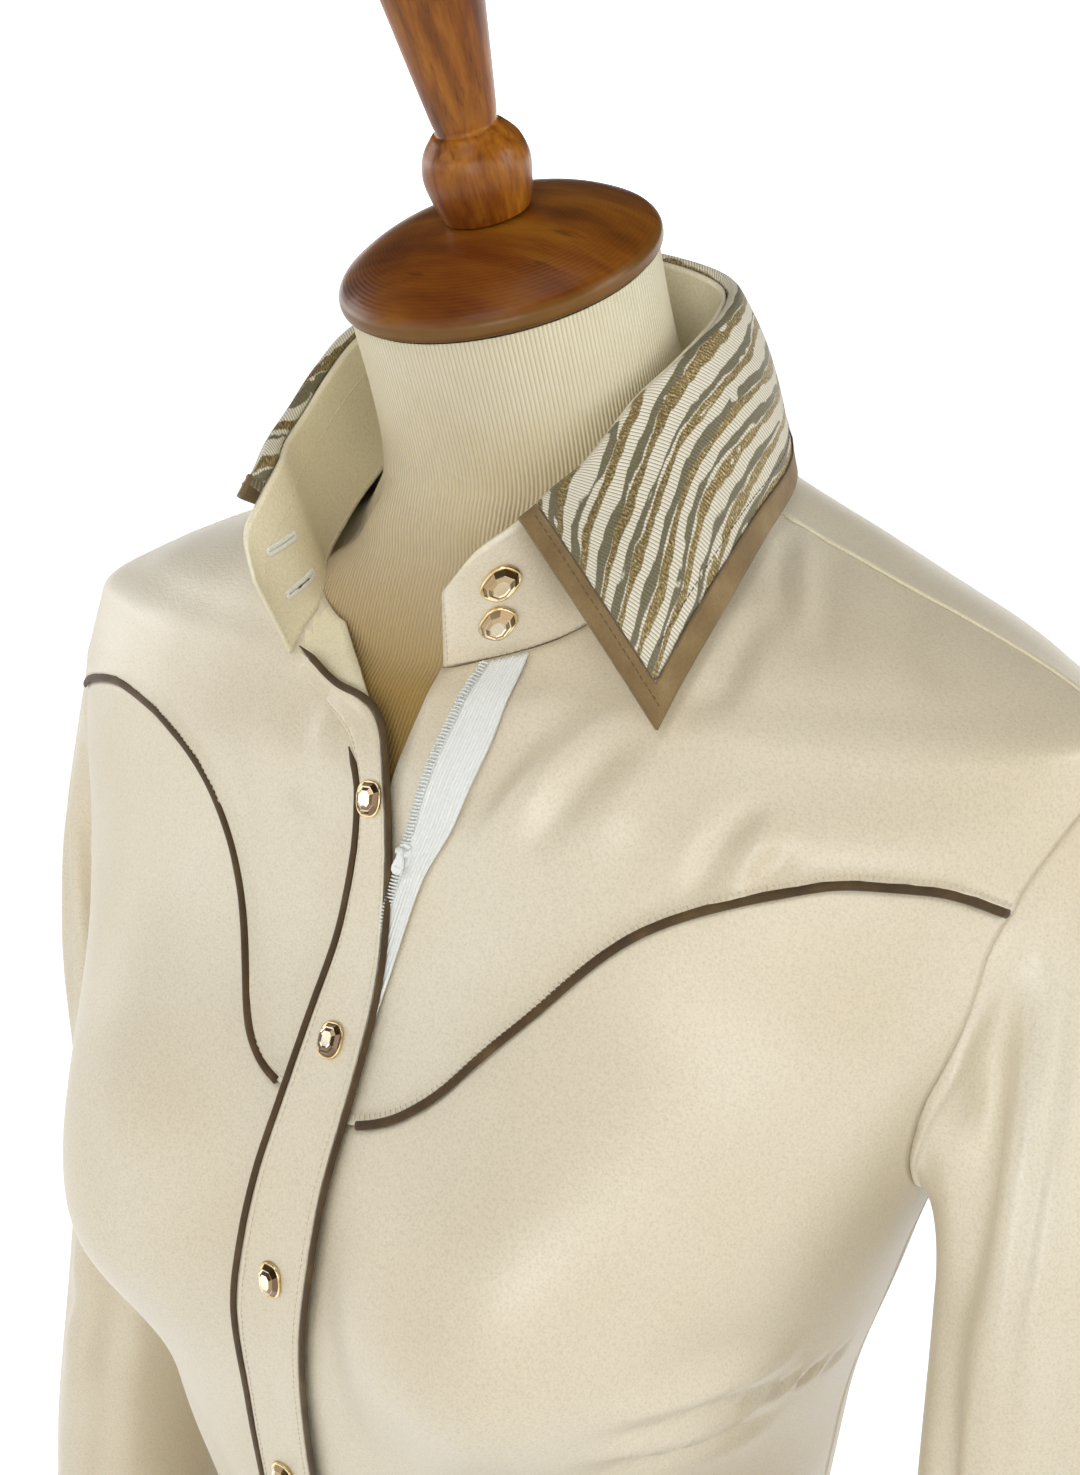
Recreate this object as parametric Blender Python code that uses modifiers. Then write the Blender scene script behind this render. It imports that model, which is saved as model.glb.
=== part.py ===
"""Western snap shirt on a limbless dress form with a turned neck cap, a finial and a small stand.

Metres, +Z up. +X is the wearer's left and the front faces -Y. The origin is the middle of the base's underside.
Cloth points are found on one torso surface from a turn round the body and a height over the waist.
A turn is in degrees, 0 at the centre front, 90 at the wearer's left side and 180 at the centre back.
"""

import math

import bmesh
import bpy
import numpy as np
from mathutils import Matrix, Vector
from mathutils.bvhtree import BVHTree

# ---- driving sizes -------------------------------------------------------------------------------------------
WAIST = 0.470  # height of the waist over the floor
WALL = 0.0012  # cloth thickness
SEAM = 0.0002  # half of the gap between two cloth pieces
SEAM_LIFT = 0.0006  # from the neckline up to the collar's seam
SLEEVE_GAP = 0.0007  # from the armhole out to the sleeve
SIDE_GAP = 0.17  # degrees from a side or shoulder seam to each panel's edge
HEM = -0.165  # lowest line of the body, from the waist
HEM_RISE = 0.022  # how far the hem climbs at the sides
UNDERARM = 0.205
SHOULDER_TIP = 0.356
NECK_TILT = 24.0  # forward lean of the neck, degrees
CAP_CENTRE = (0.0, -0.0227, 0.4844)  # from the waist
PIPING_RADIUS = 0.0014
BAND_PIPING_RADIUS = 0.0012
BAND_LIFT = 0.0023  # from the panels' outer face out to the band's inner face
TAPE_LIFT = 0.0005
TAPE_WALL = 0.0010
SNAP_SIZE = (0.0052, 0.0060, 0.0032)  # half width, half height, height over the cloth
CUFF_TOP = -0.205
CUFF_END = -0.262
FINIAL_TILT = 25.5
COLLAR_SNAP_SIZE = (0.0050, 0.0054, 0.0030)
SEAT = 0.0003  # from a piece to the cloth under it

# Sections of the worn body of the shirt, over the waist:
# height, half width, front depth, back depth, roundness, y of the side, forward tilt in degrees
SECTIONS = (
    (-0.200, 0.166, 0.112, 0.118, 2.2, 0.000, 0),
    (-0.100, 0.155, 0.112, 0.100, 2.2, 0.000, 0),
    (0.000, 0.128, 0.110, 0.078, 2.1, -0.004, 0),
    (0.090, 0.134, 0.131, 0.088, 2.1, -0.004, 0),
    (0.165, 0.150, 0.137, 0.104, 2.2, -0.004, 0),
    (0.213, 0.163, 0.130, 0.110, 2.2, -0.005, 0),
    (0.285, 0.189, 0.097, 0.114, 2.2, -0.005, 0),
    (0.330, 0.195, 0.086, 0.108, 2.1, -0.004, 0),
    (0.354, 0.197, 0.076, 0.102, 2.0, 0.001, 0),
    (0.368, 0.177, 0.073, 0.096, 2.0, 0.008, 2),
    (0.388, 0.126, 0.068, 0.080, 2.0, 0.013, 8),
    (0.404, 0.085, 0.064, 0.064, 2.0, 0.016, 14),
    (0.420, 0.061, 0.060, 0.054, 2.0, 0.016, 18),
    (0.432, 0.055, 0.056, 0.050, 2.0, 0.012, 20),
)
# The bust cups: how far out and up their middles lie, how deep they are, and how far they spread
CUP = {"x": 0.086, "z": 0.180, "depth": 0.030, "across": 0.050, "down": 0.048, "up": 0.072}

# Neckline: turn, height. Front armhole and back armhole: height, turn.
NECKLINE = ((0, 0.3625), (3.5, 0.364), (8, 0.369), (14, 0.376), (26, 0.389), (45, 0.403), (65, 0.413), (90, 0.420),
            (120, 0.424), (150, 0.426), (180, 0.427))
ARMHOLE_FRONT_LEFT = ((0.205, 90), (0.212, 83.5), (0.222, 77), (0.240, 70), (0.262, 66.5), (0.300, 66.5),
                      (0.318, 69.5), (0.334, 75), (0.348, 83), (0.356, 90))
ARMHOLE_FRONT_RIGHT = ((0.205, 90), (0.212, 83), (0.222, 75), (0.240, 66), (0.262, 61.5), (0.300, 60.5),
                       (0.318, 62.5), (0.334, 68), (0.348, 79), (0.356, 90))
ARMHOLE_BACK = ((0.205, 90), (0.212, 96), (0.222, 102), (0.240, 108), (0.262, 111), (0.300, 110), (0.318, 107.5),
                (0.334, 103), (0.348, 96.5), (0.356, 90))
# Yoke curves: turn from the centre, height
YOKE_LEFT = ((0, 0.2365), (5, 0.2375), (9, 0.242), (13, 0.252), (16, 0.265), (19.5, 0.279), (23, 0.293),
             (27, 0.304), (32, 0.312), (39, 0.319), (47, 0.3235), (56, 0.3225), (69, 0.314))
YOKE_RIGHT = ((0, 0.2385), (4, 0.243), (7, 0.252), (8.5, 0.262), (10.5, 0.278), (13, 0.296), (17, 0.312),
              (23, 0.324), (32, 0.332), (41, 0.334), (51, 0.330), (62, 0.321))
YOKE_BACK = ((0, 0.232), (5, 0.238), (14, 0.262), (26, 0.288), (38, 0.302), (52, 0.305), (72, 0.297))

# The band down the wearer's right front: height of its left edge, x there, height of its right edge, x there
BAND = (
    (-0.160, -0.0128, -0.160, 0.0130),
    (-0.080, -0.0128, -0.080, 0.0125),
    (0.000, -0.0126, 0.000, 0.0112),
    (0.060, -0.0125, 0.060, 0.0098),
    (0.110, -0.0125, 0.110, 0.0090),
    (0.140, -0.0118, 0.140, 0.0106),
    (0.168, -0.0124, 0.168, 0.0132),
    (0.198, -0.0100, 0.198, 0.0162),
    (0.236, -0.0050, 0.236, 0.0180),
    (0.262, -0.0033, 0.262, 0.0168),
    (0.290, 0.0000, 0.290, 0.0140),
    (0.311, 0.0012, 0.312, 0.0115),
    (0.328, -0.0010, 0.333, 0.0058),
    (0.339, -0.0090, 0.347, -0.0045),
    (0.347, -0.0250, 0.3535, -0.0230),
    (0.353, -0.0425, 0.3590, -0.0420),
)
# The edge of the wearer's right front where it stands open over the band: height, x
OPEN_RIGHT = ((0.331, 0.0050), (0.339, 0.0012), (0.346, -0.0053), (0.352, -0.0116), (0.3585, -0.0180),
              (0.367, -0.0272), (0.377, -0.0358))
OPEN_LEFT = ((0.331, 0.0080), (0.346, 0.0090), (0.3645, 0.0112))
OPEN_TOP = {1: 0.3625, -1: 0.3740}  # height at which a front's open edge meets the neckline
BAND_ROWS = 34
# Zip tape on the wearer's left front: height, x of its inner edge, x of its outer edge
TAPE = ((0.246, 0.0045, 0.0170), (0.262, 0.0068, 0.0182), (0.280, 0.0100, 0.0200), (0.305, 0.0150, 0.0250),
        (0.325, 0.0185, 0.0335), (0.348, 0.0212, 0.0378), (0.366, 0.0250, 0.0385))
TAPE_ROWS = 22
SNAP_HEIGHTS = (0.326, 0.256, 0.186, 0.106, 0.030, -0.046, -0.122)
COLLAR_SNAPS = ((20.7, 0.70), (21.0, 0.34))  # column of the collar, share of the stand's height
# Zip slider: x and height of its middle, half width, half height, thickness
SLIDER = {"x": 0.0186, "height": 0.3125, "half_wide": 0.0024, "half_high": 0.0034, "thick": 0.0016}
# The hinge on it: height of the pin over the slider's middle and over its face, pin and bore radius,
# reach of the cheeks on each side, and the pull's half width between them
PIN = {"up": 0.0010, "over": 0.0013, "radius": 0.00050, "bore": 0.00060, "cheek": (0.00135, 0.00190), "eye": 0.00115}
# The pull's outline: distance below the pin, half width
PULL = ((0.0008, 0.00115), (0.0018, 0.00120), (0.0034, 0.00165), (0.0050, 0.00190), (0.0062, 0.00165),
        (0.0069, 0.00090))
PULL_THICK = 0.0009
PIN_SEGMENTS = 20

# The collar round the neck, from the wearer's right end to the left end. A minus turn is the wearer's right.
# turn, how far the seam hangs under the neckline, height of the stand, its lean out from the neck in degrees,
# its slide towards the wearer's left, height of the leaf's outer edge on the torso, turn of that edge,
# and how far that edge stands off the shirt
COLLAR = (
    (-14, 0.0185, 0.026, 5, 0.0, 0.394, -58, 0.0060),
    (-15.5, 0.0105, 0.034, 12, 0.0, 0.394, -58, 0.0060),
    (-18, 0.0035, 0.0385, 9, 0.0, 0.394, -58, 0.0060),
    (-24, 0.0, 0.042, 2, 0.0, 0.394, -63, 0.0060),
    (-32, 0.0, 0.043, -1, 0.0, 0.395, -69, 0.0060),
    (-44, 0.0, 0.043, -2, 0.0, 0.397, -77, 0.0060),
    (-60, 0.0, 0.043, -1, 0.0, 0.400, -87, 0.0060),
    (-80, 0.0, 0.042, 3, 0.0, 0.403, -99, 0.0060),
    (-105, 0.0, 0.040, 3, 0.0, 0.406, -117, 0.0060),
    (-130, 0.0, 0.039, 1, 0.0, 0.408, -138, 0.0060),
    (-155, 0.0, 0.039, 0, 0.0, 0.408, -159, 0.0060),
    (-180, 0.0, 0.039, 0, 0.0, 0.408, -180, 0.0060),
    (-205, 0.0, 0.039, 4, 0.0, 0.408, -201, 0.0060),
    (-230, 0.0, 0.039, 9, 0.0, 0.408, -222, 0.0060),
    (-255, 0.0, 0.040, 3, 0.0, 0.408, -243, 0.0060),
    (-280, 0.0, 0.041, -3, 0.0, 0.406, -262, 0.0060),
    (-298, 0.0, 0.042, -11, 0.0, 0.401, -290, 0.0060),
    (-314, 0.0, 0.043, -16, 0.0, 0.3905, -312, 0.0060),
    (-326, 0.0, 0.043, -17, 0.0, 0.3795, -323.4, 0.0060),
    (-336, 0.0, 0.043, -10, 0.0, 0.366, -331, 0.0055),
    (-342, 0.0, 0.042, 10, -0.003, 0.355, -334, 0.0050),
    (-349, 0.0, 0.037, 14, -0.001, 0.355, -334, 0.0050),
    (-356.5, 0.0, 0.026, -4, 0.006, 0.355, -334, 0.0050),
)
STAND_ROWS = 3
LEAF_FIRST = 2  # the leaf runs between these columns of the collar
LEAF_LAST = 20
TRIM_WIDTH = 0.0080
TRIM_GAP = 0.00035  # half of the gap between the trim and the leaf
LEAF_ROLL = 0.0046  # how far the leaf rolls out at the fold
LEAF_BOW = 0.0045  # how far it swells between the fold and its edge

# Each side's sleeve, from the armhole down: height, x of its middle, y of its middle, half width in x, in y
SLEEVES = {
    1: (
        (0.190, 0.2030, -0.012, 0.0340, 0.0640),
        (0.120, 0.2055, -0.016, 0.0345, 0.0630),
        (0.050, 0.2060, -0.022, 0.0335, 0.0590),
        (-0.020, 0.2050, -0.030, 0.0320, 0.0550),
        (-0.090, 0.2030, -0.040, 0.0310, 0.0520),
        (-0.160, 0.2000, -0.049, 0.0310, 0.0500),
        (-0.192, 0.1985, -0.053, 0.0300, 0.0470),
        (-0.2045, 0.1980, -0.0545, 0.0285, 0.0440),
    ),
    -1: (
        (0.190, 0.1895, 0.000, 0.0270, 0.0580),
        (0.120, 0.1890, -0.003, 0.0285, 0.0560),
        (0.050, 0.1925, -0.012, 0.0285, 0.0545),
        (-0.020, 0.1940, -0.026, 0.0285, 0.0530),
        (-0.090, 0.1920, -0.038, 0.0275, 0.0510),
        (-0.160, 0.1892, -0.049, 0.0272, 0.0500),
        (-0.192, 0.1880, -0.053, 0.0262, 0.0470),
        (-0.2045, 0.1875, -0.0545, 0.0248, 0.0440),
    ),
}
SLEEVE_BULGE = {1: 0.30, -1: 0.27}  # how far a sleeve's head swells over the shoulder, as a share of its drop
SLEEVE_CAP_ROWS = 6
SLEEVE_ROWS = 11
# Long soft folds in a sleeve: turn round it (0 inner side, 90 front, 180 outer side), depth, spread in degrees,
# the height where it is deepest, its reach up and down
SLEEVE_FOLDS = ((112, 0.0045, 16, 0.130, 0.150), (148, -0.0030, 15, 0.060, 0.180), (60, 0.0035, 15, 0.020, 0.140),
                (230, 0.0040, 17, 0.080, 0.160), (300, 0.0030, 18, -0.060, 0.120))
CUFF_SNAP_TURN = 40.0  # back from the outer side
CUFF_SNAP_HEIGHTS = (-0.222, -0.246)
# Each side's cuff: x, y, half width in x, half width in y, at its top and at its end
CUFFS = {1: ((0.1980, -0.0555, 0.0285, 0.0430), (0.1970, -0.0580, 0.0280, 0.0425)),
         -1: ((0.1875, -0.0555, 0.0248, 0.0430), (0.1865, -0.0580, 0.0243, 0.0425))}

# The form under the shirt: height, distance in from the shirt's outer face. Its neck: distance under the cap, radius
FORM_RINGS = ((-0.200, 0.0045), (-0.150, 0.0045), (-0.105, 0.0050), (-0.070, 0.0052), (-0.040, 0.0054),
              (-0.016, 0.0056), (0.006, 0.0056), (0.028, 0.0054), (0.052, 0.0050), (0.080, 0.0048), (0.115, 0.0048),
              (0.150, 0.0048), (0.180, 0.0048), (0.210, 0.0050), (0.240, 0.0054), (0.270, 0.0054), (0.300, 0.0050),
              (0.325, 0.0046), (0.343, 0.0046), (0.3555, 0.0048), (0.366, 0.0052), (0.376, 0.0058), (0.386, 0.0066),
              (0.396, 0.0078), (0.4055, 0.0090))
NECK_RINGS = ((0.0640, 0.0572), (0.0560, 0.0536), (0.0440, 0.0510), (0.0250, 0.0494), (0.0, 0.0490))
FORM_COLUMNS = 32
HOLLOW_FILL = 0.8  # how much of the hollow between chest and neck is filled at the centre front
HOLLOW_REACH = 20.0  # how far round the filling goes, degrees

# Turned wood: radius and height of each profile, top to bottom
FINIAL = ((0.0060, 0.1230), (0.0130, 0.1205), (0.0172, 0.1130), (0.0182, 0.1030), (0.0168, 0.0800),
          (0.0142, 0.0600), (0.0118, 0.0420), (0.0100, 0.0290), (0.0094, 0.0255), (0.0112, 0.0240),
          (0.0146, 0.0200), (0.0162, 0.0155), (0.0164, 0.0115), (0.0154, 0.0060), (0.0141, 0.0015), (0.0136, 0.0))
FINIAL_RISE = 0.0112  # of its foot over the cap's middle
CAP = ((0.0140, 0.0103), (0.0260, 0.0088), (0.0380, 0.0052), (0.0470, 0.0006), (0.0502, -0.0022),
       (0.0510, -0.0046), (0.0506, -0.0066), (0.0490, -0.0076))
POLE = ((0.0150, 0.2695), (0.0150, 0.2450), (0.0220, 0.2380), (0.0240, 0.2300), (0.0200, 0.2220), (0.0150, 0.2140),
        (0.0165, 0.1400), (0.0200, 0.0640), (0.0290, 0.0480), (0.0320, 0.0390), (0.0300, 0.0283))
BASE = ((0.0600, 0.0280), (0.1050, 0.0250), (0.1240, 0.0215), (0.1310, 0.0170), (0.1370, 0.0150), (0.1400, 0.0100),
        (0.1390, 0.0030), (0.1375, 0.0))
TURNED_SEGMENTS = 28

SATIN = (0.80, 0.74, 0.64)
TAUPE = (0.17, 0.12, 0.075)
JACQUARD = (0.58, 0.54, 0.45)
JERSEY = (0.82, 0.75, 0.58)
STAINED_WOOD = (0.33, 0.12, 0.03)
CHAMPAGNE = (0.85, 0.72, 0.52)
ZIP_WHITE = (0.80, 0.83, 0.82)
UPWARD = np.array([0.0, 0.0, 1.0])


# ---- scene and materials -------------------------------------------------------------------------------------
def clear_scene():
    for obj in list(bpy.data.objects):
        bpy.data.objects.remove(obj, do_unlink=True)


def material(name, colour, roughness, metallic=0.0):
    made = bpy.data.materials.new(name)
    made.use_nodes = True
    shader = made.node_tree.nodes["Principled BSDF"]
    shader.inputs["Base Color"].default_value = (*colour, 1.0)
    shader.inputs["Roughness"].default_value = roughness
    shader.inputs["Metallic"].default_value = metallic
    return made


def add_object(name, data, finish):
    obj = bpy.data.objects.new(name, data)
    shirt.objects.link(obj)
    data.materials.append(finish)
    return obj


# ---- the torso surface ---------------------------------------------------------------------------------------
def smooth(table, at, column=1):
    """The column's value where the first column is `at`, on a curve that never overshoots its points."""
    rows = np.asarray(table, float)
    xs, ys = rows[:, 0], rows[:, column]
    at = np.clip(at, xs[0], xs[-1])
    step = np.diff(xs)
    rise = np.diff(ys) / step
    slope = np.concatenate([rise[:1], np.zeros(len(xs) - 2), rise[-1:]])
    same_way = rise[:-1] * rise[1:] > 0
    slope[1:-1][same_way] = 2 * (rise[:-1] * rise[1:])[same_way] / (rise[:-1] + rise[1:])[same_way]
    cell = np.clip(np.searchsorted(xs, at, side="right") - 1, 0, len(xs) - 2)
    part = (at - xs[cell]) / step[cell]
    return (
        ys[cell]
        + part * step[cell] * slope[cell]
        + part**2 * (3 * (ys[cell + 1] - ys[cell]) - step[cell] * (2 * slope[cell] + slope[cell + 1]))
        + part**3 * (2 * (ys[cell] - ys[cell + 1]) + step[cell] * (slope[cell] + slope[cell + 1]))
    )


def surface(turn, height):
    """Points of the shirt's outer face, at turns and heights over the waist."""
    turn, height = np.broadcast_arrays(np.asarray(turn, float), np.asarray(height, float))
    wide, front, back, power, side, tilt = (smooth(SECTIONS, height, column) for column in range(1, 7))
    sine, cosine = np.sin(np.radians(turn)), np.cos(np.radians(turn))
    x = wide * np.sign(sine) * np.abs(sine) ** (2 / power)
    in_front = cosine >= 0
    off = -np.sign(cosine) * np.where(in_front, front, back) * np.abs(cosine) ** (2 / power)
    spread = np.where(height > CUP["z"], CUP["up"], CUP["down"])
    from_middle = ((np.abs(x) - CUP["x"]) / CUP["across"]) ** 2 + ((height - CUP["z"]) / spread) ** 2
    cup = CUP["depth"] * np.exp(-from_middle)
    off = off - np.where(in_front, cup * np.abs(cosine) ** 0.6, 0)
    tilt = np.radians(tilt)
    return np.stack([x, side + off * np.cos(tilt), WAIST + height + off * np.sin(tilt)], axis=-1)


def normal(turn, height):
    """Unit normals of that face, pointing away from the body."""
    across = surface(np.asarray(turn) + 0.4, height) - surface(np.asarray(turn) - 0.4, height)
    up = surface(turn, np.asarray(height) + 0.001) - surface(turn, np.asarray(height) - 0.001)
    out = np.cross(across, up)
    return out / np.linalg.norm(out, axis=-1, keepdims=True)


def on_shirt(turn, height, out=0.0):
    return surface(turn, height) + out * normal(turn, height)


def turn_at(x, height):
    """The front turn at which the surface lies at this x."""
    reach = np.clip(np.abs(x) / smooth(SECTIONS, height, 1), 0, 1)
    return np.sign(x) * np.degrees(np.arcsin(reach ** (smooth(SECTIONS, height, 4) / 2)))


# ---- mesh makers ---------------------------------------------------------------------------------------------
def sheet(name, rows, finish, thick=WALL, closed=False, turned=False, keep=None):
    """A cloth wall from rows of points on its outer face. `closed` joins each row's ends into a ring."""
    rows = np.asarray(rows, float)
    count, across = rows.shape[:2]
    mesh = bpy.data.meshes.new(name)
    form = bmesh.new()
    points = [[form.verts.new(point) for point in row] for row in rows]
    for i in range(count - 1):
        for j in range(across if closed else across - 1):
            if keep is not None and not keep(i, j):
                continue
            corners = [points[i][j], points[i][(j + 1) % across], points[i + 1][(j + 1) % across], points[i + 1][j]]
            form.faces.new(corners[::-1] if turned else corners)
    bmesh.ops.delete(form, geom=[vert for vert in form.verts if not vert.link_faces], context="VERTS")
    bmesh.ops.triangulate(form, faces=form.faces[:], quad_method="SHORT_EDGE")
    form.to_mesh(mesh)
    form.free()
    mesh.shade_smooth()
    obj = add_object(name, mesh, finish)
    wall = obj.modifiers.new("wall", "SOLIDIFY")
    wall.thickness = thick
    wall.offset = -1
    return obj


def rope(name, points, radius, finish, sides=0):
    """A cord of piping along the points."""
    path = bpy.data.curves.new(name, "CURVE")
    path.dimensions = "3D"
    path.bevel_depth = radius
    path.bevel_resolution = sides
    path.use_fill_caps = True
    spline = path.splines.new("POLY")
    spline.points.add(len(points) - 1)
    for point, place in zip(spline.points, points):
        point.co = (*place, 1.0)
    return add_object(name, path, finish)


def trees_of(names):
    """Search trees of finished pieces, for what lies on them."""
    graph = bpy.context.evaluated_depsgraph_get()
    return [BVHTree.FromObject(shirt.objects[name], graph) for name in names]


def height_over(point, out, trees):
    """How far the outermost face of those pieces lies out from the point, or None beside them."""
    hits = [tree.ray_cast(Vector(point + out * 0.02), Vector(-out), 0.04)[3] for tree in trees]
    hits = [hit for hit in hits if hit is not None]
    return 0.02 - min(hits) if hits else None


def seated(point, out, spread, names):
    """The point moved along `out` until a disc of that radius there clears the pieces under it by SEAT."""
    across = np.cross(UPWARD, out)
    across /= np.linalg.norm(across)
    up = np.cross(out, across)
    trees = trees_of(names)
    spots = [point] + [point + spread * share * (across * math.cos(angle) + up * math.sin(angle))
                       for share in (0.5, 1.0) for angle in np.radians(np.arange(0, 360, 30))]
    heights = [height_over(spot, out, trees) for spot in spots]
    return point + out * (max(height for height in heights if height is not None) + SEAT)


def turned_piece(name, profile, finish, place=(0, 0, 0), lean=0.0):
    """A lathe-turned solid from its profile, top to bottom, closed on its axis at both ends."""
    mesh = bpy.data.meshes.new(name)
    form = bmesh.new()
    outline = [(0.0, profile[0][1]), *profile, (0.0, profile[-1][1])]
    verts = [form.verts.new((radius, 0.0, height)) for radius, height in outline]
    for first, second in zip(verts, verts[1:]):
        form.edges.new((first, second))
    form.to_mesh(mesh)
    form.free()
    obj = add_object(name, mesh, finish)
    turning = obj.modifiers.new("turning", "SCREW")
    turning.steps = turning.render_steps = TURNED_SEGMENTS
    turning.use_merge_vertices = True
    turning.merge_threshold = 0.0001
    turning.use_smooth_shade = True
    obj.location = place
    obj.rotation_euler = (math.radians(lean), 0, 0)
    return obj


# ---- the shirt's panels --------------------------------------------------------------------------------------
def band_edge_x(height):
    """x of the band's right edge, which is also the free edge of the wearer's right front."""
    return smooth([(row[2], row[3]) for row in BAND], height)


def right_inner(height):
    """Turn of the right front's free edge: just inside the band's, and standing open above."""
    beside = band_edge_x(np.minimum(height, OPEN_RIGHT[0][0])) - 0.0012
    return turn_at(np.where(height > OPEN_RIGHT[0][0], smooth(OPEN_RIGHT, height), beside), height)


def left_inner(height):
    """Turn of the left front's edge: beside the right front's below, and standing open above."""
    beside = band_edge_x(np.minimum(height, OPEN_LEFT[0][0])) - 0.0004
    beside = np.where(height > 0.325, np.maximum(beside, OPEN_LEFT[0][1]), beside)
    return turn_at(np.where(height > OPEN_LEFT[0][0], smooth(OPEN_LEFT, height), beside), height)


def right_armhole(height):
    return -smooth(ARMHOLE_FRONT_RIGHT, height)


def left_armhole(height):
    return smooth(ARMHOLE_FRONT_LEFT, height)


SHARES = (0.0, 0.07, 0.14, 0.22, 0.30, 0.38, 0.47, 0.56, 0.66, 0.76, 0.88, 1.0)  # columns of a front
BACK_SHARES = np.concatenate([-np.linspace(1, 0, 10)[:-1] ** 0.9, np.linspace(0, 1, 10) ** 0.9])
UNDER_ROWS = 14  # rows from the hem to the underarm, the same on every panel
ARM_ROWS = 5  # rows from the underarm to the yoke
YOKE_ARM_ROWS = 5  # rows from the yoke's seam to the shoulder tip
SHOULDER_ROWS = 5  # rows from the shoulder tip to the neck


def spaced(start, middle, end, first_count, second_count):
    """Heights from start by way of middle to end, with those numbers of steps."""
    below = np.linspace(start, middle, first_count + 1)
    return np.concatenate([below, np.linspace(middle, end, second_count + 1)[1:]])


def seam_heights(shares, inner, outer, curve):
    """Where each column meets the yoke's curve: its height and its turn."""
    heights = np.full(len(shares), 0.28)
    for _ in range(60):
        turns = inner(heights) + shares * (outer(heights) - inner(heights))
        heights = 0.5 * heights + 0.5 * smooth(curve, np.abs(turns))
    return heights


def front_panels(side, inner, outer, curve):
    """The turns and heights of one front below and above its yoke's seam."""
    shares = np.asarray(SHARES)
    seam = seam_heights(shares, inner, outer, curve)
    under = (UNDERARM - HEM - HEM_RISE) / (seam[-1] - HEM - HEM_RISE)
    rise = spaced(0.0, under, 1.0, UNDER_ROWS, ARM_ROWS)[:, None]
    hem = HEM + HEM_RISE * shares**2
    lower = hem + (seam - SEAM - hem) * rise
    lower_turn = inner(lower) + shares * (outer(lower) - side * SIDE_GAP * (lower < UNDERARM) - inner(lower))
    tip = (SHOULDER_TIP - seam[-1]) / (smooth(NECKLINE, 90.0) - seam[-1])
    rise = spaced(0.0, tip, 1.0, YOKE_ARM_ROWS, SHOULDER_ROWS)[:, None]
    top = inner(OPEN_TOP[side])
    neck_turn = top + shares * (side * 90 - top)
    neck = smooth(NECKLINE, np.abs(neck_turn)) - SEAM
    upper = seam + SEAM + (neck - seam - SEAM) * rise
    start = inner(np.minimum(upper, OPEN_TOP[side]))
    end = np.where(upper > SHOULDER_TIP, side * (90 - SIDE_GAP), outer(upper))
    upper_turn = start + shares * (end - start)
    return (lower_turn, lower), (upper_turn, upper)


def back_panels():
    """The turns and heights of the back below and above its yoke's seam, from the wearer's left to the right."""
    shares = np.asarray(BACK_SHARES)

    def reach(height):
        return 180 - smooth(ARMHOLE_BACK, height)

    heights = np.full(len(shares), 0.27)
    for _ in range(60):
        heights = 0.5 * heights + 0.5 * smooth(YOKE_BACK, np.abs(shares) * reach(heights))
    under = (UNDERARM - HEM - HEM_RISE) / (heights[-1] - HEM - HEM_RISE)
    rise = spaced(0.0, under, 1.0, UNDER_ROWS, ARM_ROWS)[:, None]
    hem = HEM + HEM_RISE * shares**2
    lower = hem + (heights - SEAM - hem) * rise
    lower_turn = 180 + shares * (reach(lower) - SIDE_GAP * (lower < UNDERARM))
    tip = (SHOULDER_TIP - heights[-1]) / (smooth(NECKLINE, 90.0) - heights[-1])
    rise = spaced(0.0, tip, 1.0, YOKE_ARM_ROWS, SHOULDER_ROWS)[:, None]
    neck = smooth(NECKLINE, 180 - 90 * np.abs(shares)) - SEAM
    upper = heights + SEAM + (neck - heights - SEAM) * rise
    upper_turn = 180 + shares * np.where(upper > SHOULDER_TIP, 90 - SIDE_GAP, reach(upper))
    return (lower_turn, lower), (upper_turn, upper)


def seam_piping(name, turns, heights, start, end):
    """Piping over a yoke's seam, without the stretches of those lengths at its ends."""
    path = on_shirt(turns, heights, PIPING_RADIUS + 0.0004)
    run = np.concatenate([[0.0], np.cumsum(np.linalg.norm(np.diff(path, axis=0), axis=1))])
    first, last = ([np.interp(at, run, path[:, axis]) for axis in range(3)] for at in (start, run[-1] - end))
    inside = path[(run > start + 0.001) & (run < run[-1] - end - 0.001)]
    rope(name, np.vstack([first, inside, last]), PIPING_RADIUS, taupe, 1)


# ---- band, zip and snaps -------------------------------------------------------------------------------------
def band():
    """The satin band and the piping along both of its edges."""
    rows = np.asarray(BAND)
    along = np.linspace(0, 1, len(rows))
    at = np.linspace(0, 1, BAND_ROWS)
    left, left_x, right, right_x = (smooth(np.column_stack([along, rows[:, column]]), at) for column in range(4))
    places, outs = [], []
    for share in (0.0, 0.5, 1.0):
        height = left + share * (right - left)
        turn = turn_at(left_x + share * (right_x - left_x), height)
        places.append(on_shirt(turn, height, BAND_LIFT + WALL))
        outs.append(normal(turn, height))
    sheet("placket", np.stack(places, axis=1), satin)
    for name, edge, last in (("placket_piping_outer", 0, BAND_ROWS - 3), ("placket_piping_inner", 2, BAND_ROWS)):
        aside = places[edge] - places[1]
        aside /= np.linalg.norm(aside, axis=1, keepdims=True)
        path = places[edge] + aside * (BAND_PIPING_RADIUS + 0.0005) - outs[edge] * (WALL / 2)
        rope(name, path[:last], BAND_PIPING_RADIUS, taupe)


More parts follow.
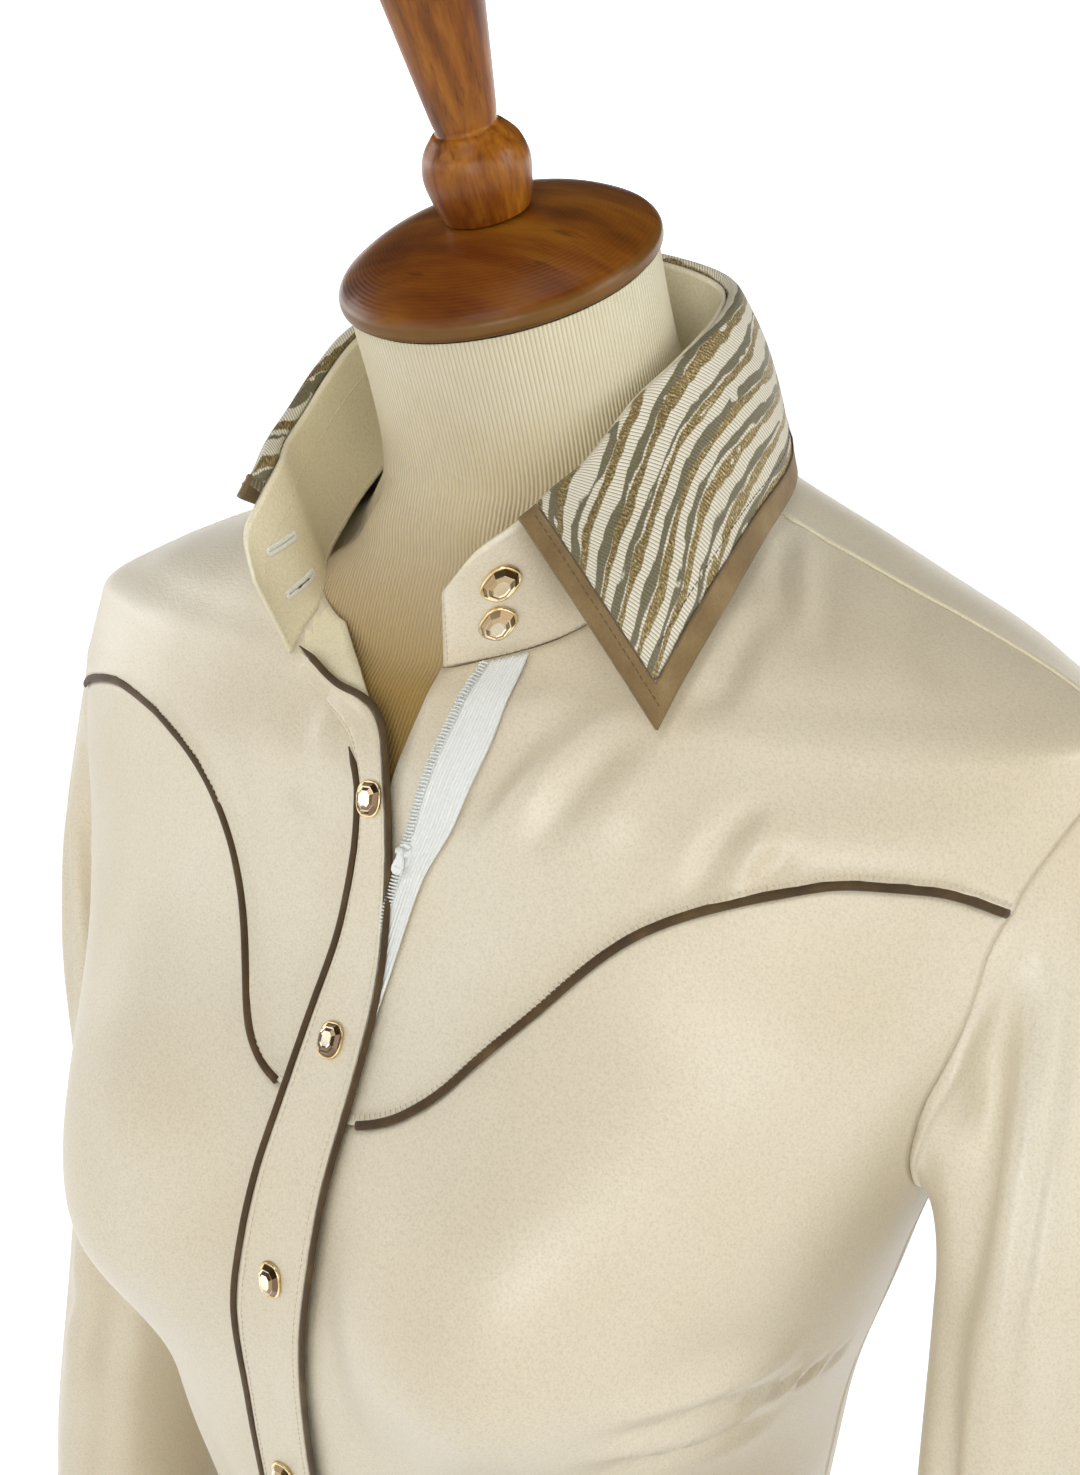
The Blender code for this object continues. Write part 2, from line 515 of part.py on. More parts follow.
def zip_tape():
    trees = trees_of(["front_left", "yoke_front_left", "front_right", "yoke_front_right"])
    rows = []
    for height in np.linspace(TAPE[0][0], TAPE[-1][0], TAPE_ROWS):
        inner, outer = (smooth(TAPE, height, column) for column in (1, 2))
        row = []
        for x in (inner, (inner + outer) / 2, outer):
            point, out = surface(turn_at(x, height), height), normal(turn_at(x, height), height)
            row.append(point + out * ((height_over(point, out, trees) or 0.0) + TAPE_LIFT + TAPE_WALL))
        rows.append(row)
    sheet("zip_tape", rows, zip_white, thick=TAPE_WALL)


def snap(name, place, out, up, under, size=SNAP_SIZE):
    """A pearl-snap cap: an oval bezel with a stepped top, seated on the cloth."""
    half_wide, half_high, rise = size
    place = seated(place, out, half_high, under)
    across = np.cross(up, out)
    across = across / np.linalg.norm(across)
    up = np.cross(out, across)
    mesh = bpy.data.meshes.new(name)
    form = bmesh.new()
    rings = []
    for share, lift in ((0.93, 0.0), (1.0, 0.25), (0.94, 0.62), (0.60, 1.0)):
        angles = 2 * math.pi * np.arange(12)[:, None] / 12
        ring = place + share * (across * half_wide * np.cos(angles) + up * half_high * np.sin(angles))
        rings.append([form.verts.new(spot) for spot in ring + out * rise * lift])
    for lower, higher in zip(rings, rings[1:]):
        for index in range(12):
            form.faces.new((lower[index], lower[(index + 1) % 12], higher[(index + 1) % 12], higher[index]))
    form.faces.new(rings[0][::-1])
    form.faces.new(rings[-1])
    form.to_mesh(mesh)
    form.free()
    add_object(name, mesh, champagne)


def band_snaps():
    rows = np.asarray(BAND)
    for number, height in enumerate(SNAP_HEIGHTS, 1):
        middle = (smooth(rows[:, [0, 1]], height) + smooth(rows[:, [2, 3]], height)) / 2
        turn = turn_at(middle, height)
        snap(f"snap_front_{number}", on_shirt(turn, height, BAND_LIFT), normal(turn, height), UPWARD, ["placket"])


def cylinder(name, middle, way, half_long, radius, finish):
    """A round bar along `way`."""
    mesh = bpy.data.meshes.new(name)
    form = bmesh.new()
    turn = Vector((0.0, 0.0, 1.0)).rotation_difference(Vector(way)).to_matrix().to_4x4()
    bmesh.ops.create_cone(form, cap_ends=True, segments=PIN_SEGMENTS, radius1=radius, radius2=radius,
                          depth=2 * half_long, matrix=Matrix.Translation(Vector(middle)) @ turn)
    form.to_mesh(mesh)
    form.free()
    return add_object(name, mesh, finish)


def plate(name, outline, back, thick, finish, basis):
    """A flat plate: its outline in across and up, from the height `back` over the place."""
    place, across, up, out = basis
    mesh = bpy.data.meshes.new(name)
    form = bmesh.new()
    verts = [form.verts.new(place + across * x + up * y + out * back) for x, y in outline]
    form.faces.new(verts)
    form.to_mesh(mesh)
    form.free()
    obj = add_object(name, mesh, finish)
    wall = obj.modifiers.new("thickness", "SOLIDIFY")
    wall.thickness = thick
    wall.offset = 1
    return obj


def upright_plate(name, outline, start, thick, finish, basis):
    """A flat plate standing on the cloth: its outline in up and out, from `start` along across."""
    place, across, up, out = basis
    return plate(name, outline, start, thick, finish, (place, up, out, across))


def combine(main, others, operation):
    """Adds the others to the main piece or cuts them from it, and keeps them as hidden helpers."""
    for other in others:
        modifier = main.modifiers.new(other.name, "BOOLEAN")
        modifier.operation = operation
        modifier.solver = "EXACT"
        modifier.object = other
        other.hide_render = True


def zip_slider():
    """The slider on the tape's inner edge, with the pin that the pull hangs on."""
    x, height = SLIDER["x"], SLIDER["height"]
    out = normal(turn_at(x, height), height)
    shift = float(smooth(TAPE, height + 0.01) - smooth(TAPE, height - 0.01)) / 2
    up = surface(turn_at(x + shift, height + 0.01), height + 0.01)
    up = up - surface(turn_at(x - shift, height - 0.01), height - 0.01)
    across = np.cross(up, out)
    across /= np.linalg.norm(across)
    up = np.cross(out, across)
    place = seated(surface(turn_at(x, height), height), out, SLIDER["half_high"] * 0.85, ["zip_tape"])
    basis = (place, across, up, out)
    wide, high, thick = SLIDER["half_wide"], SLIDER["half_high"], SLIDER["thick"]
    outline = [(wide * a, high * b) for a, b in ((-0.55, -1), (0.55, -1), (0.85, -0.75), (1, -0.2), (1, 0.45),
                                                (0.7, 0.85), (0.3, 1), (-0.3, 1), (-0.7, 0.85), (-1, 0.45),
                                                (-1, -0.2), (-0.85, -0.75))]
    body = plate("zip_slider", outline, 0.0, thick, zip_white, basis)
    pin_place = place + up * PIN["up"] + out * (thick + PIN["over"])
    near, far = PIN["cheek"]
    cheek = [(PIN["up"] + a, thick + b) for a, b in ((-0.0011, -0.0004), (0.0011, -0.0004), (0.0010, PIN["over"]),
                                                     (0.0006, PIN["over"] + 0.0008), (-0.0006, PIN["over"] + 0.0008),
                                                     (-0.0010, PIN["over"]))]
    helpers = [upright_plate("cheek_near", cheek, near, far - near, zip_white, basis),
               upright_plate("cheek_far", cheek, -far, far - near, zip_white, basis),
               cylinder("pin", pin_place, across, near + 0.0002, PIN["radius"], zip_white)]
    combine(body, helpers, "UNION")
    return pin_place, across, up, out


def zip_pull(pin_place, across, up, out):
    """The pull's flat drop, hanging from an eye round the slider's pin."""
    outline = [(-half, -below) for below, half in PULL] + [(half, -below) for below, half in reversed(PULL)]
    drop = plate("zip_pull", outline, -PULL_THICK / 2, PULL_THICK, zip_white, (pin_place, across, up, out))
    eye_half = PULL[0][1]
    combine(drop, [cylinder("eye", pin_place, across, eye_half, PIN["eye"], zip_white)], "UNION")
    combine(drop, [cylinder("bore", pin_place, across, eye_half + 0.0005, PIN["bore"], zip_white)], "DIFFERENCE")


# ---- collar --------------------------------------------------------------------------------------------------
def collar_points():
    """Seam, fold and outer edge of the collar for each of its columns, its way up and its way out from the neck."""
    turns, drop, tall, lean, slide, edge_height, edge_turn, stand_off = np.asarray(COLLAR).T
    tilt = math.radians(NECK_TILT)
    axis = np.array([0.0, -math.sin(tilt), math.cos(tilt)])
    neckline = smooth(NECKLINE, np.abs((turns + 180) % 360 - 180)) + SEAM_LIFT
    out = surface(turns, neckline) - np.array([0.0, 0.004, 0.0])
    out[:, 2] = 0
    out /= np.linalg.norm(out, axis=1, keepdims=True)
    along = np.cross(axis, out)
    along /= np.linalg.norm(along, axis=1, keepdims=True)
    seam = on_shirt(turns, neckline - drop, np.minimum(drop * 0.3, 0.0030)[:, None])
    lean = np.radians(lean)[:, None]
    rise = np.cos(lean) * axis + np.sin(lean) * out
    fold = seam + rise * tall[:, None] + along * slide[:, None]
    edge = on_shirt(edge_turn, edge_height, stand_off[:, None])
    return seam, fold, edge, rise, out


def stand_rows():
    """The neck band's outer face, straight from the seam up to the fold."""
    seam, fold, _, rise, _ = collar_points()
    shares = np.linspace(0, 1, STAND_ROWS + 1)[:, None, None]
    return seam[None] + (fold - seam)[None] * shares


def leaf_rows():
    """The leaf's outer face, from the fold over and down to its outer edge, with a line at the trim's inner edge."""
    _, fold, edge, rise, out = (points[LEAF_FIRST:LEAF_LAST + 1] for points in collar_points())
    start = fold + rise * 0.0018 + out * 0.0006
    turn_over = fold + rise * 0.0028 + out * LEAF_ROLL
    width = np.linalg.norm(edge - turn_over, axis=1)[:, None]
    trim = 1 - TRIM_WIDTH / width
    rows = [start, turn_over]
    for share in (0.28, 0.56, trim - TRIM_GAP / width, trim + TRIM_GAP / width, 1.0):
        swell = (out * LEAF_BOW + rise * 0.0015) * 4 * share * (1 - share)
        rows.append(turn_over + (edge - turn_over) * share + swell)
    return np.array(rows)


def with_end_lines(rows):
    """The rows with two more columns beside each end, where the trim's inner edge runs down the front edges."""
    ends = []
    for edge, inside in ((rows[:, 0], rows[:, 1]), (rows[:, -1], rows[:, -2])):
        stretch = np.linalg.norm(inside - edge, axis=1)[:, None]
        share = np.clip(TRIM_WIDTH / stretch, 0.12, 0.8)
        ends.append([edge + (inside - edge) * (share + shift * TRIM_GAP / stretch) for shift in (-1, 1)])
    (outer, inner), (last_outer, last_inner) = ends
    return np.concatenate([rows[:, :1], outer[:, None], inner[:, None], rows[:, 1:-1], last_inner[:, None],
                           last_outer[:, None], rows[:, -1:]], axis=1)


def collar():
    sheet("collar_stand", stand_rows(), satin, turned=True)
    rows = with_end_lines(leaf_rows())
    last_row, last_column = rows.shape[0] - 2, rows.shape[1] - 2

    def in_trim(i, j):
        return i == last_row or (i >= 1 and j in (0, last_column))

    def in_leaf(i, j):
        return i < last_row - 1 and 1 < j < last_column - 1

    sheet("collar_trim", rows, taupe, keep=in_trim)
    sheet("collar_leaf", rows, jacquard, keep=in_leaf)


def collar_snaps():
    """Two snaps on the left end of the neck band."""
    rows = stand_rows()
    for number, (column, share) in enumerate(COLLAR_SNAPS, 1):
        first = int(column)
        part = column - first
        foot, top = ((1 - part) * row[first] + part * row[first + 1] for row in (rows[0], rows[-1]))
        across = rows[:, first].mean(axis=0) - rows[:, first + 1].mean(axis=0)
        out = np.cross(across, top - foot)
        out /= np.linalg.norm(out)
        snap(f"snap_collar_{number}", foot + (top - foot) * share, out, top - foot, ["collar_stand"],
             COLLAR_SNAP_SIZE)


# ---- sleeves -------------------------------------------------------------------------------------------------
def armhole_loop(side, lower_front, upper_front, upper_back, lower_back):
    """The armhole's points, from the underarm up the front, over the tip and down the back, with their normals."""
    turns = np.concatenate([part[0] for part in (lower_front, upper_front, upper_back, lower_back)])
    heights = np.concatenate([part[1] for part in (lower_front, upper_front, upper_back, lower_back)])
    places, out = surface(turns, heights), normal(turns, heights)
    along = np.roll(places, -1, axis=0) - np.roll(places, 1, axis=0)
    away = np.cross(along, out) * side
    away /= np.linalg.norm(away, axis=1, keepdims=True)
    return places + away * SLEEVE_GAP, away


def sleeve_section(height, turns, side):
    """A level ring of the sleeve, with its long soft folds. turns: 0 inner side, 90 front, 180 outer side."""
    x, y, half_x, half_y = (smooth(SLEEVES[side][::-1], height, column) for column in range(1, 5))
    dent = np.zeros(len(turns))
    for where, depth, spread, deepest, reach in SLEEVE_FOLDS:
        apart = (turns - where + 180) % 360 - 180
        dent += depth * np.exp(-((apart / spread) ** 2) - ((height - deepest) / reach) ** 2)
    angle = np.radians(turns)
    return np.column_stack([
        side * (x - (half_x - dent) * np.cos(angle)),
        y - (half_y - dent) * np.sin(angle),
        np.full(len(turns), WAIST + height),
    ])


def sleeve(name, side, loop, away):
    count = len(loop)
    turns = 360 * np.arange(count) / count
    heights = [row[0] for row in SLEEVES[side]]
    top = heights[0]
    target = sleeve_section(top, turns, side)
    high = ((1 - np.cos(np.radians(turns))) / 2)[:, None]
    reach = np.linalg.norm(target - loop, axis=1)[:, None]
    start_way = away * (0.25 + 0.75 * high) - 0.08 * high * UPWARD
    start_way = start_way + np.array([side * 0.6, 0.0, -0.5]) * (1 - high)
    start_way /= np.linalg.norm(start_way, axis=1, keepdims=True)
    first = loop + start_way * reach * (0.18 + (SLEEVE_BULGE[side] - 0.18) * high)
    second = target + np.array([0.0, 0.0, 1.0]) * reach * (0.30 + 0.12 * high)
    rows = []
    for part in np.linspace(0, 1, SLEEVE_CAP_ROWS + 1):
        rows.append((1 - part) ** 3 * loop + 3 * part * (1 - part) ** 2 * first
                    + 3 * part**2 * (1 - part) * second + part**3 * target)
    for height in np.linspace(top, heights[-1], SLEEVE_ROWS + 1)[1:]:
        rows.append(sleeve_section(height, turns, side))
    sheet(name, rows, satin, closed=True, turned=side > 0)
    return turns


def cuff(side, label, turns):
    top, end = np.asarray(CUFFS[side])
    rows = []
    for share in (0.0, 0.5, 1.0):
        x, y, half_x, half_y = (1 - share) * top + share * end
        height = CUFF_TOP - 0.0003 + share * (CUFF_END - CUFF_TOP)
        angle = np.radians(turns)
        rows.append(np.column_stack([side * (x - half_x * np.cos(angle)), y - half_y * np.sin(angle),
                                     np.full(len(turns), WAIST + height)]))
    sheet(f"cuff_{label}", rows, satin, closed=True, turned=side > 0)
    middle = np.array([side * x, y, 0.0])
    out = np.array([side * half_y * math.cos(math.radians(CUFF_SNAP_TURN)),
                    half_x * math.sin(math.radians(CUFF_SNAP_TURN)), 0.0])
    out /= np.linalg.norm(out)
    for number, height in enumerate(CUFF_SNAP_HEIGHTS, 1):
        inside = middle + np.array([0.0, 0.0, WAIST + height])
        reach = np.array([side * half_x * math.cos(math.radians(CUFF_SNAP_TURN)),
                          half_y * math.sin(math.radians(CUFF_SNAP_TURN)), 0.0])
        snap(f"snap_cuff_{label}_{number}", inside + reach, out, UPWARD, [f"cuff_{label}"])


# ---- dress form ----------------------------------------------------------------------------------------------
def fill_hollow(rings, turns):
    """The rings with the foot of the neck filled out in front, where the collar stands open."""
    away = (turns + 180) % 360 - 180
    round_front = (HOLLOW_FILL * np.exp(-((away / HOLLOW_REACH) ** 4)))[:, None]
    first, last = len(FORM_RINGS) - 5, len(rings) - 3
    for index in range(first + 1, last):
        share = (index - first) / (last - first)
        straight = (1 - share) * rings[first] + share * rings[last]
        rings[index] += round_front * (straight - rings[index])
    return rings


def form_torso():
    """A smooth closed body inside the shirt, going over into the leaning neck."""
    turns = np.linspace(0, 360, FORM_COLUMNS, endpoint=False)
    rings = [on_shirt(turns, height, -ease) for height, ease in FORM_RINGS]
    tilt = math.radians(NECK_TILT)
    axis = np.array([0.0, -math.sin(tilt), math.cos(tilt)])
    back = np.array([0.0, math.cos(tilt), math.sin(tilt)])
    top = np.array(CAP_CENTRE) + WAIST * UPWARD - axis * 0.0080
    angle = np.radians(turns)[:, None]
    for below, radius in NECK_RINGS:
        rings.append(top - axis * below + radius * (np.sin(angle) * np.array([1.0, 0.0, 0.0]) - np.cos(angle) * back))
    mesh = bpy.data.meshes.new("form_torso")
    form = bmesh.new()
    verts = [[form.verts.new(point) for point in ring] for ring in fill_hollow(np.array(rings), turns)]
    count = len(turns)
    for lower, higher in zip(verts, verts[1:]):
        for index in range(count):
            form.faces.new((lower[index], lower[(index + 1) % count], higher[(index + 1) % count], higher[index]))
    form.faces.new(verts[0][::-1])
    form.faces.new(verts[-1])
    form.to_mesh(mesh)
    form.free()
    mesh.shade_smooth()
    add_object("form_torso", mesh, jersey)


# ---- assembly ------------------------------------------------------------------------------------------------
clear_scene()
shirt = bpy.data.collections.new("western_snap_shirt_on_dress_form")
bpy.context.scene.collection.children.link(shirt)
satin = material("champagne satin", SATIN, 0.42)
taupe = material("taupe cotton", TAUPE, 0.75)
jacquard = material("ivory jacquard", JACQUARD, 0.60)
jersey = material("cream jersey", JERSEY, 0.85)
wood = material("stained wood", STAINED_WOOD, 0.35)
champagne = material("gilt metal", CHAMPAGNE, 0.20, 1.0)
zip_white = material("white tape", ZIP_WHITE, 0.80)

right_lower, right_upper = front_panels(-1, right_inner, right_armhole, YOKE_RIGHT)
left_lower, left_upper = front_panels(1, left_inner, left_armhole, YOKE_LEFT)
back_lower, back_upper = back_panels()
for name, (turns, heights), turned in (
    ("front_right", right_lower, True), ("yoke_front_right", right_upper, True),
    ("front_left", left_lower, False), ("yoke_front_left", left_upper, False),
    ("back", back_lower, False), ("back_yoke", back_upper, False),
):
    sheet(name, surface(turns, heights), satin, turned=turned)
seam_piping("yoke_piping_right", right_lower[0][-1], right_lower[1][-1] + SEAM, 0.0280, 0.0015)
seam_piping("yoke_piping_left", left_lower[0][-1], left_lower[1][-1] + SEAM, 0.0055, 0.0015)
seam_piping("yoke_piping_back", back_lower[0][-1], back_lower[1][-1] + SEAM, 0.0015, 0.0015)
band()
zip_tape()
zip_pull(*zip_slider())
band_snaps()
collar()
collar_snaps()

for side, label, lower, upper, column in ((-1, "right", right_lower, right_upper, -1),
                                          (1, "left", left_lower, left_upper, 0)):
    front_low = [part[UNDER_ROWS:-1, -1] for part in lower]
    front_high = [part[:YOKE_ARM_ROWS + 1, -1] for part in upper]
    back_high = [part[:YOKE_ARM_ROWS, column][::-1] for part in back_upper]
    back_low = [part[UNDER_ROWS + 1:-1, column][::-1] for part in back_lower]
    loop, away = armhole_loop(side, front_low, front_high, back_high, back_low)
    ring = sleeve(f"sleeve_{label}", side, loop, away)
    cuff(side, label, ring)

form_torso()
cap_place = np.array(CAP_CENTRE) + WAIST * UPWARD
lean = math.radians(NECK_TILT)
finial_place = cap_place + FINIAL_RISE * np.array([0.0, -math.sin(lean), math.cos(lean)])
turned_piece("neck_cap", CAP, wood, cap_place, NECK_TILT)
turned_piece("finial", FINIAL, wood, finial_place, FINIAL_TILT)
turned_piece("pole", POLE, wood)
turned_piece("base", BASE, wood)
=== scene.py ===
"""The looks of a western snap shirt on its dress form: cloth with creases and sewing, snaps, zip and wood.

Metres, +Z up. +X is the wearer's left and the front faces -Y. The cloth lies on the same torso surface as
the solids: a point on it is a turn round the body, in degrees from the centre front, and a height over the
waist.
"""

import math

import bpy
import numpy as np
from mathutils import Matrix, Vector


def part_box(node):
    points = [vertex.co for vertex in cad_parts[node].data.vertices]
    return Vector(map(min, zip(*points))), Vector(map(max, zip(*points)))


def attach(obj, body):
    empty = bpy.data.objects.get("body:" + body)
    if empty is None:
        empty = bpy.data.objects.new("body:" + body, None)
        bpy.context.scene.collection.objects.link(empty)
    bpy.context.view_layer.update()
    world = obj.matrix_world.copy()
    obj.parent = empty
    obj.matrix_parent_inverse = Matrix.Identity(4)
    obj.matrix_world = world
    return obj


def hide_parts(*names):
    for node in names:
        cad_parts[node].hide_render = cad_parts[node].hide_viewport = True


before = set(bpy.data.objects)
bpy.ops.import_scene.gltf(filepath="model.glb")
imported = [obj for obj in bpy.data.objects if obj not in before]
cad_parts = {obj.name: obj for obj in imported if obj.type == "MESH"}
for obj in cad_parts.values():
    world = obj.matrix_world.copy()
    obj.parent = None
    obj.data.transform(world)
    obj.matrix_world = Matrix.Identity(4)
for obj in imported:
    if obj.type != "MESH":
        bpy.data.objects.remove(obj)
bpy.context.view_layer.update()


# ---- the shirt's sizes, as in its solids ---------------------------------------------------------
WAIST = 0.47  # height of the waist over the floor
WALL = 0.0012  # cloth thickness
SEAM = 0.0002  # half of the gap between two cloth pieces
SEAM_LIFT = 0.0006  # from the neckline up to the collar's seam
SIDE_GAP = 0.17  # degrees from a side or shoulder seam to each panel's edge
HEM = -0.165  # lowest line of the body, from the waist
HEM_RISE = 0.022  # how far the hem climbs at the sides
SIDE = 90.0  # turn of the body's side
BACK = 180.0  # turn of the centre back
UNDERARM = 0.205  # from the waist
SHOULDER_TIP = 0.356
UPWARD = np.array([0.0, 0.0, 1.0])
NECK_TILT = 24.0  # forward lean of the neck, degrees
NECK_LEAN = math.radians(NECK_TILT)
NECK_AXIS = np.array([0.0, -math.sin(NECK_LEAN), math.cos(NECK_LEAN)])
NECK_BACK = np.array([0.0, math.cos(NECK_LEAN), math.sin(NECK_LEAN)])
CAP_CENTRE = np.array([0.0, -0.0227, 0.4844]) + WAIST * UPWARD
PIPING_RADIUS = 0.0014  # of the yokes' piping
BAND_PIPING_RADIUS = 0.0012
BAND_LIFT = 0.0023  # from the panels' outer face out to the band's inner face
TAPE_LIFT = 0.0009  # from the left front out to the zip tape
TAPE_WALL = 0.001
CUFF_TOP = -0.205  # from the waist
CUFF_END = -0.262
FINIAL_TILT = 25.5  # forward lean of the finial, degrees
NECK_MIDDLE = (0, -0.01, 0.93)  # a point inside the neck band

# Snaps: how many in a row; half width, half height, height over the cloth; turn about their middle, degrees
SNAPS = {
    "front": (7, (0.0044, 0.0056, 0.0032), 6.0),
    "collar": (2, (0.0049, 0.0072, 0.0034), -28.0),
    "cuff": (2, (0.0052, 0.006, 0.0032), 0.0),
}

# Sections of the worn body of the shirt: height over the waist, half width, front depth, back depth,
# roundness, y of the side, forward tilt in degrees
SECTIONS = (
    (-0.2, 0.166, 0.112, 0.118, 2.2, 0.0, 0),
    (-0.1, 0.155, 0.112, 0.1, 2.2, 0.0, 0),
    (0.0, 0.128, 0.11, 0.078, 2.1, -0.004, 0),
    (0.09, 0.134, 0.131, 0.088, 2.1, -0.004, 0),
    (0.165, 0.15, 0.137, 0.104, 2.2, -0.004, 0),
    (0.213, 0.163, 0.13, 0.11, 2.2, -0.005, 0),
    (0.285, 0.189, 0.097, 0.114, 2.2, -0.005, 0),
    (0.33, 0.195, 0.086, 0.108, 2.1, -0.004, 0),
    (0.354, 0.197, 0.076, 0.102, 2.0, 0.001, 0),
    (0.368, 0.177, 0.073, 0.096, 2.0, 0.008, 2),
    (0.388, 0.126, 0.068, 0.08, 2.0, 0.013, 8),
    (0.404, 0.085, 0.064, 0.064, 2.0, 0.016, 14),
    (0.42, 0.061, 0.06, 0.054, 2.0, 0.016, 18),
    (0.432, 0.055, 0.056, 0.05, 2.0, 0.012, 20),
)
# The bust cups: how far out and up their middles lie, how deep they are, and how far they spread
CUP = {"x": 0.086, "z": 0.18, "depth": 0.03, "across": 0.05, "down": 0.048, "up": 0.072}

# Neckline: turn, height
NECKLINE = (
    (0, 0.3625), (3.5, 0.364), (8, 0.369), (14, 0.376), (26, 0.389), (45, 0.403), (65, 0.413), (90, 0.42),
    (120, 0.424), (150, 0.426), (180, 0.427),
)
# Armholes: height, turn
ARMHOLE_FRONT_LEFT = (
    (0.205, 90), (0.212, 83.5), (0.222, 77), (0.24, 70), (0.262, 66.5), (0.3, 66.5), (0.318, 69.5),
    (0.334, 75), (0.348, 83), (0.356, 90),
)
ARMHOLE_FRONT_RIGHT = (
    (0.205, 90), (0.212, 83), (0.222, 75), (0.24, 66), (0.262, 61.5), (0.3, 60.5), (0.318, 62.5),
    (0.334, 68), (0.348, 79), (0.356, 90),
)
ARMHOLE_BACK = (
    (0.205, 90), (0.212, 96), (0.222, 102), (0.24, 108), (0.262, 111), (0.3, 110), (0.318, 107.5),
    (0.334, 103), (0.348, 96.5), (0.356, 90),
)
# Yoke curves: turn from the centre, height
YOKE_LEFT = (
    (0, 0.2365), (5, 0.2375), (9, 0.242), (13, 0.252), (16, 0.265), (19.5, 0.279), (23, 0.293), (27, 0.304),
    (32, 0.312), (39, 0.319), (47, 0.3235), (56, 0.3225), (69, 0.314),
)
YOKE_RIGHT = (
    (0, 0.2385), (4, 0.243), (7, 0.252), (8.5, 0.262), (10.5, 0.278), (13, 0.296), (17, 0.312), (23, 0.324),
    (32, 0.332), (41, 0.334), (51, 0.33), (62, 0.321),
)
YOKE_BACK = ((0, 0.232), (5, 0.238), (14, 0.262), (26, 0.288), (38, 0.302), (52, 0.305), (72, 0.297))

# The band down the wearer's right front: height and x of its left edge, height and x of its right edge
BAND = (
    (-0.16, -0.0128, -0.16, 0.013),
    (-0.08, -0.0128, -0.08, 0.0125),
    (0.0, -0.0126, 0.0, 0.0112),
    (0.06, -0.0125, 0.06, 0.0098),
    (0.11, -0.0125, 0.11, 0.009),
    (0.14, -0.0118, 0.14, 0.0106),
    (0.168, -0.0124, 0.168, 0.0132),
    (0.198, -0.01, 0.198, 0.0162),
    (0.236, -0.005, 0.236, 0.018),
    (0.262, -0.0033, 0.262, 0.0168),
    (0.29, 0.0, 0.29, 0.014),
    (0.311, 0.0012, 0.312, 0.0115),
    (0.328, -0.001, 0.333, 0.0058),
    (0.339, -0.009, 0.347, -0.0045),
    (0.347, -0.025, 0.3535, -0.023),
    (0.353, -0.0425, 0.359, -0.042),
)
# The edge of the wearer's right front where it stands open over the band: height, x
OPEN_RIGHT = (
    (0.331, 0.005), (0.339, 0.0012), (0.346, -0.0053), (0.352, -0.0116), (0.3585, -0.018),
    (0.367, -0.0272), (0.377, -0.0358),
)
OPEN_LEFT = ((0.331, 0.008), (0.346, 0.009), (0.3645, 0.0112))
OPEN_TOP = {1: 0.3625, -1: 0.374}  # height at which a front's open edge meets the neckline
# Zip tape on the wearer's left front: height, x of its inner edge, x of its outer edge
TAPE = (
    (0.246, 0.0045, 0.017), (0.262, 0.0068, 0.0182), (0.28, 0.01, 0.02), (0.305, 0.015, 0.025),
    (0.325, 0.0185, 0.0335), (0.348, 0.0212, 0.0378), (0.366, 0.025, 0.0385),
)

# The collar round the neck, from its right end to its left end. A minus turn is the wearer's right.
# Turn, how far the seam hangs under the neckline, height of the stand, its lean out from the neck in
# degrees, its slide towards the wearer's left, height of the leaf's outer edge on the torso, turn of that
# edge, and how far that edge stands off the shirt
COLLAR = (
    (-14, 0.0185, 0.026, 5, 0.0, 0.394, -58, 0.006),
    (-15.5, 0.0105, 0.034, 12, 0.0, 0.394, -58, 0.006),
    (-18, 0.0035, 0.0385, 9, 0.0, 0.394, -58, 0.006),
    (-24, 0.0, 0.042, 2, 0.0, 0.394, -63, 0.006),
    (-32, 0.0, 0.043, -1, 0.0, 0.395, -69, 0.006),
    (-44, 0.0, 0.043, -2, 0.0, 0.397, -77, 0.006),
    (-60, 0.0, 0.043, -1, 0.0, 0.4, -87, 0.006),
    (-80, 0.0, 0.042, 3, 0.0, 0.403, -99, 0.006),
    (-105, 0.0, 0.04, 3, 0.0, 0.406, -117, 0.006),
    (-130, 0.0, 0.039, 1, 0.0, 0.408, -138, 0.006),
    (-155, 0.0, 0.039, 0, 0.0, 0.408, -159, 0.006),
    (-180, 0.0, 0.039, 0, 0.0, 0.408, -180, 0.006),
    (-205, 0.0, 0.039, 4, 0.0, 0.408, -201, 0.006),
    (-230, 0.0, 0.039, 9, 0.0, 0.408, -222, 0.006),
    (-255, 0.0, 0.04, 3, 0.0, 0.408, -243, 0.006),
    (-280, 0.0, 0.041, -3, 0.0, 0.406, -262, 0.006),
    (-298, 0.0, 0.042, -11, 0.0, 0.401, -290, 0.006),
    (-314, 0.0, 0.043, -16, 0.0, 0.3905, -312, 0.006),
    (-326, 0.0, 0.043, -17, 0.0, 0.3795, -323.4, 0.006),
    (-336, 0.0, 0.043, -10, 0.0, 0.366, -331, 0.0055),
    (-342, 0.0, 0.042, 10, -0.003, 0.355, -334, 0.005),
    (-349, 0.0, 0.037, 14, -0.001, 0.355, -334, 0.005),
    (-356.5, 0.0, 0.026, -4, 0.006, 0.355, -334, 0.005),
)
COLLAR_FINE = 9  # fine columns for each of the collar's
LEAF_FIRST = 2  # the leaf runs between these columns of the collar
LEAF_LAST = 20
LEAF_ROWS = 40
TRIM_ROWS = 6
TRIM_WIDTH = 0.008
TRIM_LIFT = 0.0005  # from the leaf's outer face out to the trim's
LEAF_ROLL = 0.0046  # how far the leaf rolls out at the fold
LEAF_BOW = 0.0045  # how far it swells between the fold and its edge

